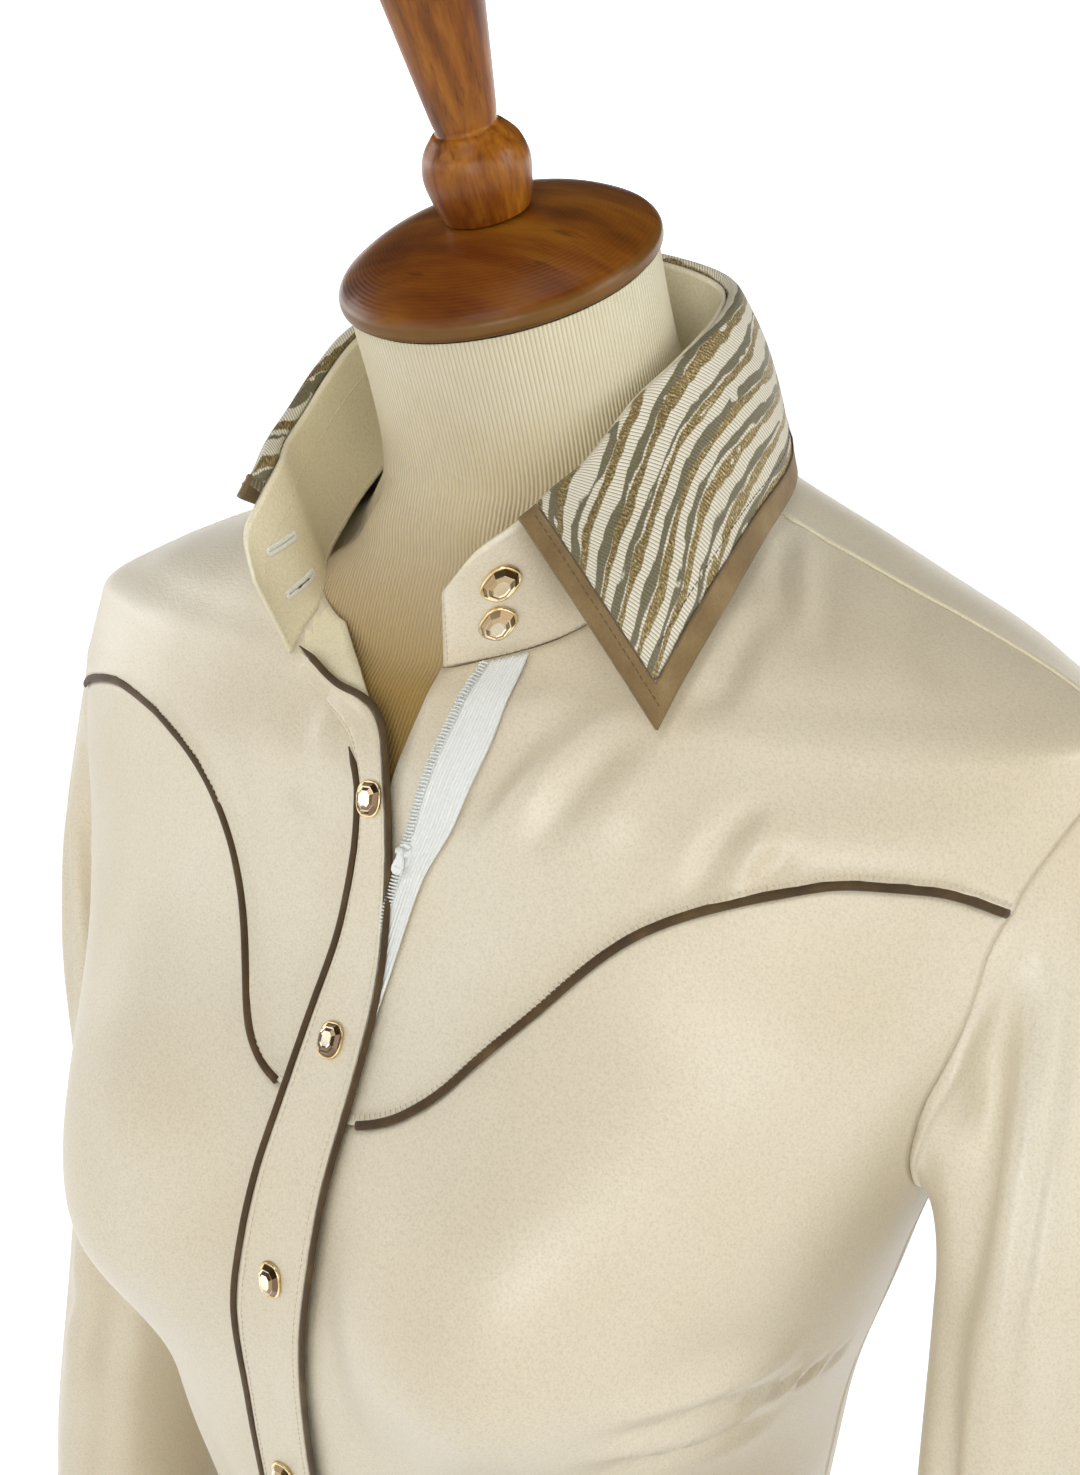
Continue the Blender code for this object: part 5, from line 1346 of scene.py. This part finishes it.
def snap_row(label, kind, points, out):
    """A row's snaps where their solids are, each with its foot on the nearest point of the cloth."""
    count, size, tilt = SNAPS[kind]
    flat, ways = np.reshape(points, (-1, 3)), np.reshape(out, (-1, 3))
    for number in range(1, count + 1):
        node = f"snap_{label}_{number}"
        middle = np.mean(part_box(node), axis=0)
        close = int(np.argmin(np.linalg.norm(flat - middle, axis=1)))
        way = unit(ways[close])
        foot = middle - way * float((middle - flat[close]) @ way)
        snap(node, foot - way * SNAP_SINK, way, size, tilt)


# ---- buttonholes ---------------------------------------------------------------------------------
# Each worked buttonhole in the neck band's right end: column and share of the height at its two ends
BUTTONHOLES = ((1.35, 0.7, 2.45, 0.55), (1.1, 0.33, 2.45, 0.21))
BUTTONHOLE_HALF = 0.0009  # from its middle line to the middle of the worked edge
BUTTONHOLE_CORD = 0.00085
BUTTONHOLE_FINE = 260  # points round the worked edge
BUTTONHOLE_OVER = 0.0002  # from the cloth out to its middle line
BEAD = (0.16, 0.0006)  # its thread's beads: share of the cord, distance from one to the next
SLIT_OVER = 0.00062
# The open slit, a dark sheet of painted shadow: share of its half length, distance to the side
SLIT = (
    (-0.55, 0.0), (-0.3, -0.0004), (0.2, -0.0005), (0.6, -0.0001),
    (0.5, 0.0003), (0.0, 0.0005), (-0.4, 0.0003),
)


def buttonhole_outline(reach):
    """The worked edge, as offsets along and across the slit: a half circle at each end, straight sides."""
    bend = np.linspace(-math.pi / 2, math.pi / 2, 9)
    end_arc = np.column_stack([reach + BUTTONHOLE_HALF * np.cos(bend), BUTTONHOLE_HALF * np.sin(bend)])
    side_line = np.column_stack([np.linspace(reach, -reach, 14)[1:-1], np.full(12, BUTTONHOLE_HALF)])
    half_ring = np.concatenate([end_arc, side_line])
    return np.concatenate([half_ring, -half_ring])


def buttonhole(number, rows, out):
    """A slit with a worked edge of thread, on both faces of the neck band. Where the open slit is drawn, it
    is a dark sheet of painted shadow.
    """
    start_column, start_share, end_column, end_share = BUTTONHOLES[number - 1]
    shares, columns = np.array([start_share, end_share]), np.array([start_column, end_column])
    (start, end), (way, _) = grid_path(rows, out, shares * (len(rows) - 1), columns * COLLAR_FINE)
    along = unit(end - start)
    reach = np.linalg.norm(end - start) / 2 - BUTTONHOLE_HALF
    outline = buttonhole_outline(reach)
    flat, ways = rows.reshape(-1, 3), out.reshape(-1, 3)
    for face, up, level in (("outside", way, BUTTONHOLE_OVER), ("inside", -way, WALL + BUTTONHOLE_OVER)):
        across = np.cross(up, along)
        spots = (start + end) / 2 + (outline[:, :1] * along + outline[:, 1:] * across)
        close = np.array([int(np.argmin(np.linalg.norm(flat - spot, axis=1))) for spot in spots])
        drop = np.einsum("ij,ij->i", spots - flat[close], ways[close])
        spots = spots - ways[close] * drop[:, None] + up * level
        ring = np.concatenate([spots, spots[:1]])
        fine = spline(ring, np.linspace(0, len(ring) - 1, BUTTONHOLE_FINE))
        depth, apart = BEAD
        bead = BUTTONHOLE_CORD * (1 + depth * np.sin(run_of(fine) * 2 * math.pi / apart))
        ups = np.broadcast_to(up, fine.shape)
        piece(tube(f"buttonhole_{number}_{face}", fine, bead, white_thread, ups, 8, 0.4), [])
        if number == 2:
            # painted shadow: a dark sheet over the cloth stands for the slit's shaded opening
            base = spots.mean(axis=0) + up * SLIT_OVER
            corners = [base + along * reach * share + across * aside for share, aside in SLIT]
            slit = mesh_object(f"buttonhole_slit_{face}", corners, [range(len(SLIT))], painted_slit_shadow)
            piece(slit, [])


# ---- materials -----------------------------------------------------------------------------------
def linear(*rgb):
    """A display colour, 0 to 255, as the renderer's linear values."""
    shares = np.array(rgb) / 255
    return [*np.where(shares < 0.0405, shares / 12.92, ((shares + 0.055) / 1.055) ** 2.4), 1.0]


THREAD_PERIOD = 0.0006981317  # of the taupe cotton's weave
WORN_RADIUS = 0.0515  # just past the neck cap's rim, where the stain is worn off


class Nodes:
    """A node tree laid out by short calls. Every call returns the socket to link on."""

    def __init__(self, tree):
        self.tree = tree
        self.places = tree.nodes.new("ShaderNodeTexCoord").outputs

    def node(self, kind, inputs, **settings):
        made = self.tree.nodes.new("ShaderNode" + kind)
        for key, value in settings.items():
            setattr(made, key, value)
        for key, value in inputs.items():
            if isinstance(value, bpy.types.NodeSocket):
                self.tree.links.new(value, made.inputs[key])
            else:
                made.inputs[key].default_value = value
        return made

    def math(self, operation, first, second=0.0, third=0.0, clamp=False):
        inputs = {0: first, 1: second, 2: third}
        return self.node("Math", inputs, operation=operation, use_clamp=clamp).outputs[0]

    def part(self, place, axis):
        return self.node("SeparateXYZ", {0: place}).outputs[axis]

    def ramp(self, factor, *stops):
        made = self.node("ValToRGB", {0: factor})
        elements = made.color_ramp.elements
        while len(elements) < len(stops):
            elements.new(0.5)
        for element, (place, colour) in zip(elements, stops):
            element.position = place
            element.color = colour if hasattr(colour, "__len__") else (colour, colour, colour, 1)
        return made.outputs[0]


class Finish(Nodes):
    """A material on the Principled shader. Its object places are in metres, and so are its UVs."""

    def __init__(self, name, **numbers):
        self.material = bpy.data.materials.new(name)
        self.material.use_nodes = True
        super().__init__(self.material.node_tree)
        self.shader = self.tree.nodes["Principled BSDF"]
        for socket, value in numbers.items():
            self.shader.inputs[socket.replace("_", " ")].default_value = value

    def placed(self, source="Object", scale=(1, 1, 1), turn=(0, 0, 0), shift=(0, 0, 0)):
        rotation = [math.radians(angle) for angle in turn]
        inputs = {"Vector": self.places[source], "Scale": scale, "Location": shift, "Rotation": rotation}
        return self.node("Mapping", inputs).outputs[0]

    def noise(self, scale, detail=2.0, roughness=0.5, distortion=0.0, place=None):
        """Soft noise with so many lumps to the metre, at its object place or at another."""
        inputs = {"Vector": self.placed() if place is None else place, "Scale": scale, "Detail": detail}
        inputs.update({"Roughness": roughness, "Distortion": distortion})
        return self.node("TexNoise", inputs).outputs[0]

    def ribs(self, axis, period, place=None):
        """A wave along one axis of the UVs, from -1 to 1, with that distance from rib to rib."""
        along = self.part(self.placed("UV") if place is None else place, axis)
        return self.math("SINE", self.math("MULTIPLY", along, 2 * math.pi / period))

    def mix(self, factor, first, second, blend="MIX"):
        made = self.node("Mix", {0: factor, 6: first, 7: second}, data_type="RGBA", blend_type=blend)
        return made.outputs[2]

    def shaded(self, colour, shade):
        return self.mix(1.0, colour, shade, "MULTIPLY")

    def added(self, value, factor, base):
        """base + factor * value"""
        return self.math("MULTIPLY_ADD", value, factor, base)

    def bump(self, height, distance, strength=1.0):
        return self.node("Bump", {"Height": height, "Distance": distance, "Strength": strength}).outputs[0]

    def close(self, colour, normal=None, **sockets):
        sockets.update({"Base Color": colour, "Normal": normal})
        for key, value in sockets.items():
            if value is not None:
                self.tree.links.new(value, self.shader.inputs[key])
        return self.material


def satin_finish(name, *colours):
    """Crepe-backed satin: a fine pebbled grain over soft shifts between ivory, pink and tan."""
    light, mid, warm = (linear(*colour) for colour in colours)
    made = Finish(name, Roughness=0.39, Sheen_Weight=0.2, Sheen_Roughness=0.35, Specular_IOR_Level=0.85)
    drift = made.noise(9.0)
    tint = made.noise(15.0, 1.0, place=made.placed(shift=(3, 1, 2)))
    grain = made.noise(1300.0, 3.0, 0.65)
    colour = made.ramp(drift, (0.34, mid), (0.64, light))
    colour = made.mix(made.ramp(tint, (0.48, 0.0), (0.72, 0.28)), colour, warm)
    colour = made.shaded(colour, made.ramp(grain, (0.32, 0.87), (0.52, 1.0), (0.7, 1.05)))
    pebble = made.noise(760.0, 2.0, 0.55)
    thread = made.noise(1.0, 1.0, place=made.placed("UV", (2600, 700, 1)))
    return made.close(colour, made.bump(made.added(thread, 0.35, pebble), 0.00024, 0.55))


def taupe_finish(name, *colours):
    """Flat cotton trim: close fine threads, slightly rubbed."""
    dark, mid, light = (linear(*colour) for colour in colours)
    made = Finish(name, Roughness=0.72, Sheen_Weight=0.15, Specular_IOR_Level=0.3)
    weave = made.math("MULTIPLY", made.ribs(0, THREAD_PERIOD), made.ribs(1, THREAD_PERIOD))
    rubbed = made.noise(70.0, 3.0, 0.55)
    fine = made.noise(1400.0, 2.0, 0.6)
    colour = made.ramp(rubbed, (0.3, dark), (0.55, mid), (0.75, light))
    colour = made.shaded(colour, made.ramp(fine, (0.3, 0.88), (0.7, 1.08)))
    return made.close(colour, made.bump(made.added(weave, 0.25, fine), 0.00012, 0.7))


# Jacquard: the stripes' period, how far from the collar's centre back they begin to bend down and how
# strongly, the twill's period and its turn
STRIPES = {
    "period": 0.0092,
    "bend_from": 0.095,
    "bend_power": 2.0,
    "bend": 3.2,
    "twill": 0.00115,
    "twill_turn": -28.0,
}


def jacquard_finish():
    """Ivory twill with long ragged stripes along the fold, in pairs: olive-grey satin and bronze thread."""
    made = Finish("ivory_jacquard", Specular_IOR_Level=0.4, Sheen_Weight=0.1)
    uv = made.placed("UV")
    across, down = made.part(uv, 0), made.part(uv, 1)
    past = made.math("MAXIMUM", made.math("SUBTRACT", made.math("ABSOLUTE", across), STRIPES["bend_from"]))
    bend = made.math("MULTIPLY", made.math("POWER", past, STRIPES["bend_power"]), -STRIPES["bend"])
    straight = made.math("ADD", down, bend)
    line = made.node("CombineXYZ", {0: across, 1: straight, 2: 0.0}).outputs[0]

    def noise(scale, detail, shift=(0, 0, 0), roughness=0.5):
        place = made.node("Mapping", {"Vector": line, "Scale": scale, "Location": shift}).outputs[0]
        return made.noise(1.0, detail, roughness, place=place)

    moved = made.added(noise((16, 50, 1), 1.0), 0.01, straight)
    moved = made.added(noise((120, 200, 1), 2.0, (5, 2, 0)), 0.0024, moved)
    moved = made.added(noise((1000, 500, 1), 2.0, roughness=0.7), 0.0008, moved)
    phase = made.math("FRACT", made.math("MULTIPLY", moved, 1 / STRIPES["period"]))

    def stripe(middle, half, spread, width_shift, breaks, hold):
        """How much of the stripe about that part of the period is here, 0 to 1."""
        apart = made.math("ABSOLUTE", made.math("SUBTRACT", phase, middle))
        uneven = made.math("SUBTRACT", noise((45, 110, 1), 1.0, width_shift), 0.5)
        room = made.math("SUBTRACT", made.added(uneven, spread, half), apart)
        kept = made.ramp(noise((60, 130, 1), 2.0, breaks, 0.6), (hold, 0.0), (hold + 0.02, 1.0))
        return made.math("MULTIPLY", made.math("MULTIPLY", room, 26.0, clamp=True), kept)

    grey = stripe(0.28, 0.15, 0.46, (1, 7, 0), (9, 4, 0), 0.37)
    bronze = stripe(0.6, 0.16, 0.3, (4, 3, 0), (2, 8, 0), 0.34)
    twill = made.ribs(0, STRIPES["twill"], made.placed("UV", turn=(0, 0, STRIPES["twill_turn"])))
    speck = made.noise(1.0, 2.0, 0.7, place=made.placed("UV", (1500, 900, 1), (0, 0, 40)))
    # painted shade: the ground darkens in the twill's grooves, where its relief is lowest
    ground = made.ramp(twill, (0.0, linear(232, 225, 206)), (0.55, linear(222, 214, 192)),
                       (1.0, linear(146, 138, 110)))
    gold = made.ramp(speck, (0.34, linear(96, 80, 46)), (0.52, linear(140, 120, 74)),
                     (0.68, linear(206, 186, 134)))
    dull = made.ramp(speck, (0.3, linear(96, 90, 64)), (0.7, linear(124, 116, 88)))
    colour = made.mix(bronze, made.mix(grey, ground, dull), gold)
    both = made.math("MAXIMUM", grey, bronze)
    relief = made.added(twill, -0.35, made.added(both, 0.5, speck))
    return made.close(colour, made.bump(relief, 0.0002, 0.8), Roughness=made.added(both, -0.2, 0.68),
                      Metallic=made.math("MULTIPLY", bronze, 0.45))


def jersey_finish():
    """Cream cotton jersey with fine upright ribs, with painted shade in the grooves between them and
    painted amber shade low down inside the collar.
    """
    made = Finish("ribbed_jersey", Roughness=0.88, Sheen_Weight=0.2, Specular_IOR_Level=0.25)

    def fade(axis, start, end, least):
        """From `least` to 1 on the way from start to end along an axis of the form."""
        inputs = {"Value": made.part(made.places["Object"], axis), "From Min": start, "From Max": end}
        return made.node("MapRange", {**inputs, "To Min": least, "To Max": 1.0}).outputs[0]

    rib = made.ribs(0, 0.00135)
    # painted shade: amber, strongest low on the neck and towards its front, inside the collar
    warm = made.math("MULTIPLY", fade(2, 0.935, 0.825, 0.0), fade(1, 0.0, -0.07, 0.35))
    stain = made.noise(40.0, 3.0, 0.55)
    cream = made.ramp(stain, (0.3, linear(244, 233, 198)), (0.7, linear(250, 242, 214)))
    colour = made.mix(warm, cream, linear(178, 144, 78))
    # painted shade in the grooves between the ribs
    colour = made.shaded(colour, made.ramp(made.added(rib, 0.5, 0.5), (0.0, 0.74), (0.35, 1.0)))
    return made.close(colour, made.bump(made.added(made.noise(1500.0), 0.5, rib), 0.00022, 0.8))


def wood_finish(name, grain_scale, *colours, rings=0.0):
    """Stained, varnished wood: streaks along the grain, redder in places. With rings, its rim is worn."""
    light, mid, dark = (linear(*colour) for colour in colours)
    made = Finish(name, Roughness=0.36, Specular_IOR_Level=0.22, Coat_Weight=0.1, Coat_Roughness=0.12)
    streak = made.noise(1.0, 6.0, 0.6, 0.25, place=made.placed(scale=grain_scale))
    fine_scale = [value * 3.1 for value in grain_scale]
    fleck = made.noise(1.0, 3.0, 0.65, place=made.placed(scale=fine_scale, shift=(2, 5, 1)))
    cloud = made.noise(16.0)
    colour = made.ramp(streak, (0.3, dark), (0.5, mid), (0.72, light))
    colour = made.mix(made.ramp(cloud, (0.45, 0.0), (0.72, 0.75)), colour, linear(92, 30, 6))
    colour = made.mix(made.ramp(fleck, (0.6, 0.0), (0.72, 0.55)), colour, linear(58, 26, 6))
    relief = streak
    if rings:
        squares = [made.math("POWER", made.part(made.places["Object"], axis), 2.0) for axis in (0, 1)]
        radius = made.math("SQRT", made.math("ADD", *squares))
        ring = made.math("SINE", made.math("MULTIPLY", radius, rings))
        ring = made.math("MULTIPLY", ring, made.noise(30.0))
        colour = made.mix(made.math("MULTIPLY", ring, 0.14, clamp=True), colour, light)
        relief = made.added(ring, 0.22, relief)
        worn = made.ramp(made.math("MULTIPLY", radius, 1 / WORN_RADIUS), (0.955, 0.0), (0.985, 0.75))
        edge = made.mix(made.noise(70.0, 3.0), linear(134, 96, 34), linear(86, 60, 18))
        colour = made.mix(worn, colour, edge)
    return made.close(colour, made.bump(relief, 0.00035, 0.35))


def tape_finish():
    """White knitted zip tape, with painted shade in the grooves between its ribs."""
    made = Finish("white_tape", Roughness=0.7, Sheen_Weight=0.2)
    thread, rib = made.ribs(1, 0.0008), made.ribs(0, 0.0011)
    colour = made.ramp(made.noise(900.0), (0.3, linear(246, 248, 242)), (0.7, linear(254, 255, 251)))
    # painted shade in the grooves between the ribs
    colour = made.shaded(colour, made.ramp(rib, (0.0, 0.9), (0.5, 1.0)))
    relief = made.added(rib, 0.8, made.math("MULTIPLY", thread, 0.25))
    return made.close(colour, made.bump(relief, 0.00015, 0.8))


def thread_finish(name, *rgb):
    """Twisted thread, with painted shade between its strands."""
    made = Finish(name, Roughness=0.6, Sheen_Weight=0.2)
    colour = linear(*rgb)
    # painted shade between the strands, as a fine mottle
    dark = [0.8 * value for value in colour[:3]] + [1]
    return made.close(made.ramp(made.noise(2500.0, 1.0), (0.3, dark), (0.7, colour)))


def gilt_finish():
    """Pale gilt with a little tarnish."""
    made = Finish("champagne_gilt", Metallic=1.0)
    tarnish = made.noise(300.0, 3.0)
    colour = made.ramp(tarnish, (0.35, linear(196, 168, 116)), (0.65, linear(240, 222, 178)))
    return made.close(colour, Roughness=made.added(tarnish, 0.18, 0.1))


def crystal_finish():
    """Champagne glass stone over foil: clear reflections, over painted reflections that give each facet one
    colour from dark brown to near white.
    """
    made = Finish("champagne_crystal", Metallic=0.85, Roughness=0.06, Coat_Weight=1.0, Coat_Roughness=0.03)
    # painted reflections: each facet's colour follows its painted brightness
    painted_glint = made.node("Attribute", {}, attribute_name="facet").outputs["Fac"]
    return made.close(made.ramp(painted_glint, (0.1, linear(38, 22, 9)), (0.38, linear(104, 76, 42)),
                                (0.66, linear(166, 138, 92)), (0.92, linear(244, 232, 204))))


def enamel_finish():
    """White enamel on a small zip slider, a little worn."""
    made = Finish("white_enamel", Roughness=0.3, Coat_Weight=0.4, Coat_Roughness=0.12)
    worn = made.noise(900.0, 3.0, 0.6)
    colour = made.ramp(worn, (0.3, linear(176, 176, 168)), (0.45, linear(238, 240, 236)))
    return made.close(colour, made.bump(worn, 0.00006, 0.5))


def floor_finish():
    """Seamless white studio paper."""
    glow = {"Emission_Color": (1, 1, 1, 1), "Emission_Strength": 1.05}
    made = Finish("studio_paper", Roughness=0.9, Specular_IOR_Level=0.1, **glow)
    dull, bright = (0.93, 0.93, 0.925, 1), (0.955, 0.955, 0.95, 1)
    return made.close(made.ramp(made.noise(3.0), (0.0, dull), (1.0, bright)))


# ---- assembly ------------------------------------------------------------------------------------
satin = satin_finish("champagne_satin", (229, 219, 195), (221, 208, 180), (212, 194, 158))
# painted light: the same satin made lighter for the neck band, which the lamps leave darker than the yoke
painted_light_stand_satin = satin_finish("painted_light_stand_satin", (246, 236, 214), (240, 228, 202), (230, 214, 182))
satin_back = satin_finish("satin_wrong_side", (242, 234, 204), (234, 224, 190), (226, 212, 170))
taupe = taupe_finish("taupe_cotton", (118, 94, 56), (134, 109, 68), (150, 126, 84))
dark_taupe = taupe_finish("dark_taupe_cotton", (62, 44, 18), (80, 60, 28), (100, 78, 42))
jacquard = jacquard_finish()
jersey = jersey_finish()
cap_wood = wood_finish("cap_wood", (14, 60, 14), (164, 108, 28), (126, 72, 12), (76, 38, 6), rings=5200.0)
finial_wood = wood_finish("finial_wood", (190, 190, 22), (184, 118, 32), (140, 80, 14), (78, 38, 6))
stand_wood = wood_finish("stand_wood", (120, 120, 12), (176, 106, 42), (132, 68, 22), (80, 36, 12))
gilt = gilt_finish()
crystal = crystal_finish()
zip_white = tape_finish()
zip_enamel = enamel_finish()
light_thread = thread_finish("light_thread", 228, 216, 192)
brown_thread = thread_finish("brown_thread", 98, 76, 44)
white_thread = thread_finish("white_thread", 240, 238, 226)
# painted shadow for the buttonholes' open slit
painted_slit_shadow = thread_finish("painted_slit_shadow", 66, 52, 36)

# How far the rows of stitches lie inside their piece's edge
YOKE_STITCH = 0.0017
FELLED_STITCH = 0.0026
HEM_STITCH = 0.012
STAND_STITCH = 0.0014
CUFF_STITCH = 0.0022
FOLD_STITCH = (0.012, 90)  # under the collar's fold, and how many columns of the neck band it follows

parts = {
    "front_right": panel("front_right", right_lower, True),
    "front_left": panel("front_left", left_lower, False),
    "back": panel("back", back_lower, False),
    "yoke_front_right": panel("yoke_front_right", right_upper, True, seam_line(right_lower), True),
    "yoke_front_left": panel("yoke_front_left", left_upper, False, seam_line(left_lower)),
    "back_yoke": panel("back_yoke", back_upper, False, seam_line(back_lower)),
}
yoke_piping("yoke_piping_right", right_lower, 0.028, 0.0015)
yoke_piping("yoke_piping_left", left_lower, 0.0055, 0.0015)
yoke_piping("yoke_piping_back", back_lower, 0.0015, 0.0015)

for label in ("yoke_front_right", "back_yoke"):
    sew(f"stitches_{label}", "satin", light_thread, beside_edge(*parts[label], "first row", YOKE_STITCH))
felled = bar_runs(*beside_edge(*parts["yoke_front_left"], "first row", FELLED_STITCH), 0.0019, 0.0013)
sew("stitches_yoke_front_left", "satin", light_thread, *felled, long=0.0013, radius=0.00024, lift=0.0006)
for label in ("front_right", "front_left", "back"):
    sew(f"stitches_hem_{label}", "satin", light_thread, beside_edge(*parts[label], "first row", HEM_STITCH))

band_points, band_out = band()
sew("stitches_placket", "satin", light_thread,
    *[grid_path(band_points, band_out, column=column) for column in (2.6, band_points.shape[1] - 3.6)])
zip_coil(zip_tape())
for node in ("zip_slider", "zip_pull"):
    bpy.data.objects[node].material_slots[0].material = zip_enamel

stand_points, leaf_points, leaf_out = collar()
stand_out = outward(stand_points, NECK_MIDDLE)
edges = [beside_edge(stand_points, stand_out, edge, STAND_STITCH)
         for edge in ("first row", "first column", "last column")]
sew("stitches_stand", "satin", light_thread, *edges)
edges.insert(2, beside_edge(stand_points, stand_out, "last row", *FOLD_STITCH))
sew("stitches_stand_inside", "satin", light_thread, *[(path - ups * WALL, -ups) for path, ups in edges])
for number in (1, 2):
    buttonhole(number, stand_points, stand_out)
collar_sewing(leaf_points, leaf_out)
snap_row("front", "front", band_points, band_out)
snap_row("collar", "collar", stand_points, stand_out)

ring = 360 * np.arange(SLEEVE_COUNT) / SLEEVE_COUNT
for side, label, lower, upper, column in ((-1, "right", right_lower, right_upper, -1),
                                          (1, "left", left_lower, left_upper, 0)):
    loop, away = armhole_loop(
        side,
        [values[UNDER_ROWS:-1, -1] for values in lower],
        [values[:YOKE_ARM_ROWS + 1, -1] for values in upper],
        [values[:YOKE_ARM_ROWS, column][::-1] for values in back_upper],
        [values[UNDER_ROWS + 1:-1, column][::-1] for values in back_lower],
    )
    sleeve(side, label, ring, loop, away)
    cuff_points = cuff(side, label, ring)
    cuff_out = outward(cuff_points, cuff_points.mean(axis=(0, 1)))
    edges = [beside_edge(cuff_points, cuff_out, edge, CUFF_STITCH) for edge in ("first row", "last row")]
    sew(f"stitches_cuff_{label}", "satin", light_thread, *[closed_run(*edge) for edge in edges])
    snap_row(f"cuff_{label}", "cuff", cuff_points, cuff_out)

form_piece = form_torso()
turned("neck_cap_wood", "neck_cap", CAP, cap_wood, CAP_CENTRE, NECK_TILT)
turned("finial_wood", "finial", FINIAL, finial_wood, CAP_CENTRE + FINIAL_RISE * NECK_AXIS, FINIAL_TILT)
turned("pole_wood", "pole", POLE, stand_wood)
turned("base_wood", "base", BASE, stand_wood)


# ---- the floor, the light and the camera ---------------------------------------------------------
# The camera: turn round the shirt from its front, height and roll in degrees, what it aims at, distance
CAMERA_TURN = 32.43
CAMERA_RISE = 18.62
CAMERA_ROLL = 0.68
CAMERA_TARGET = np.array([-0.0438, 0.0747, 0.7601])
CAMERA_DISTANCE = 0.6207
# Soft boxes: turn round the shirt from its front towards the wearer's left, height over its chest, power
LIGHTS = (
    ("front", 5, 45, 3.7),
    ("top", 32, 75, 2.0),
    ("low_front", 26, 6, 5.8),
    ("front_left", -35, 25, 1.9),
    ("right", 100, 25, 7.6),
    ("left", -85, 20, 4.6),
)
LIGHT_MIDDLE = (0, 0, 0.82)
LIGHT_DISTANCE = 1.6
LIGHT_SIZE = 0.7
# Height on the sky over HORIZON, and its brightness there
WORLD_LIGHT = ((0.0, 0.18), (0.01, 0.52), (0.08, 1.0), (0.21, 1.0), (0.29, 0.03))
WORLD_STRENGTH = 2.15
WORLD_COLOUR = np.array([1.0, 0.995, 0.985])
HORIZON = 0.05  # its place on that table
FLOOR_HALF = 30.0


def placed_in_scene(name, data):
    made = bpy.data.objects.new(name, data)
    bpy.context.scene.collection.objects.link(made)
    return made


def direction(turn, rise):
    """The way out from the shirt at that turn from its front and that height, in degrees."""
    turn, rise = math.radians(turn), math.radians(rise)
    return np.array([math.sin(turn) * math.cos(rise), -math.cos(turn) * math.cos(rise), math.sin(rise)])


def camera():
    made = placed_in_scene("camera", bpy.data.cameras.new("camera"))
    made.data.sensor_fit = "HORIZONTAL"
    made.data.sensor_width = 36.0
    made.data.lens = 50.0
    made.data.clip_start = 0.01
    made.data.clip_end = 30.0
    back = direction(CAMERA_TURN, CAMERA_RISE)
    right = -direction(CAMERA_TURN - 90, 0)
    up = np.cross(back, right)
    roll = math.radians(CAMERA_ROLL)
    rolled_right = math.cos(roll) * right + math.sin(roll) * up
    rolled_up = math.cos(roll) * up - math.sin(roll) * right
    matrix = np.eye(4)
    matrix[:3] = np.column_stack([rolled_right, rolled_up, back, CAMERA_TARGET + CAMERA_DISTANCE * back])
    made.matrix_world = Matrix(matrix)
    bpy.context.scene.camera = made


def area_light(name, turn, rise, power):
    light = bpy.data.lights.new(name, "AREA")
    light.energy = power
    light.size = LIGHT_SIZE
    made = placed_in_scene(name, light)
    away = Vector(direction(turn, rise))
    made.location = Vector(LIGHT_MIDDLE) + LIGHT_DISTANCE * away
    made.rotation_euler = away.to_track_quat("Z", "Y").to_euler()


def studio_world():
    """White all round at eye level, dimmer overhead, as between soft boxes in a white cove."""
    world = bpy.data.worlds.new("studio")
    world.use_nodes = True
    made = Nodes(world.node_tree)
    height = made.math("ADD", made.part(made.places["Generated"], 2), HORIZON)
    stops = [(place, (*(WORLD_COLOUR * strength), 1.0)) for place, strength in WORLD_LIGHT]
    background = made.tree.nodes["Background"]
    background.inputs["Strength"].default_value = WORLD_STRENGTH
    made.tree.links.new(made.ramp(height, *stops), background.inputs["Color"])
    bpy.context.scene.world = world


camera()
corners = [(x * FLOOR_HALF, y * FLOOR_HALF, 0) for x, y in ((-1, -1), (1, -1), (1, 1), (-1, 1))]
floor = mesh_object("floor", corners, [(0, 1, 2, 3)], floor_finish())
floor.visible_diffuse = False  # so that the white floor doesn't light the cloth from below
studio_world()
for name, turn, rise, power in LIGHTS:
    area_light(name, turn, rise, power)
bpy.context.scene.view_settings.view_transform = "Standard"
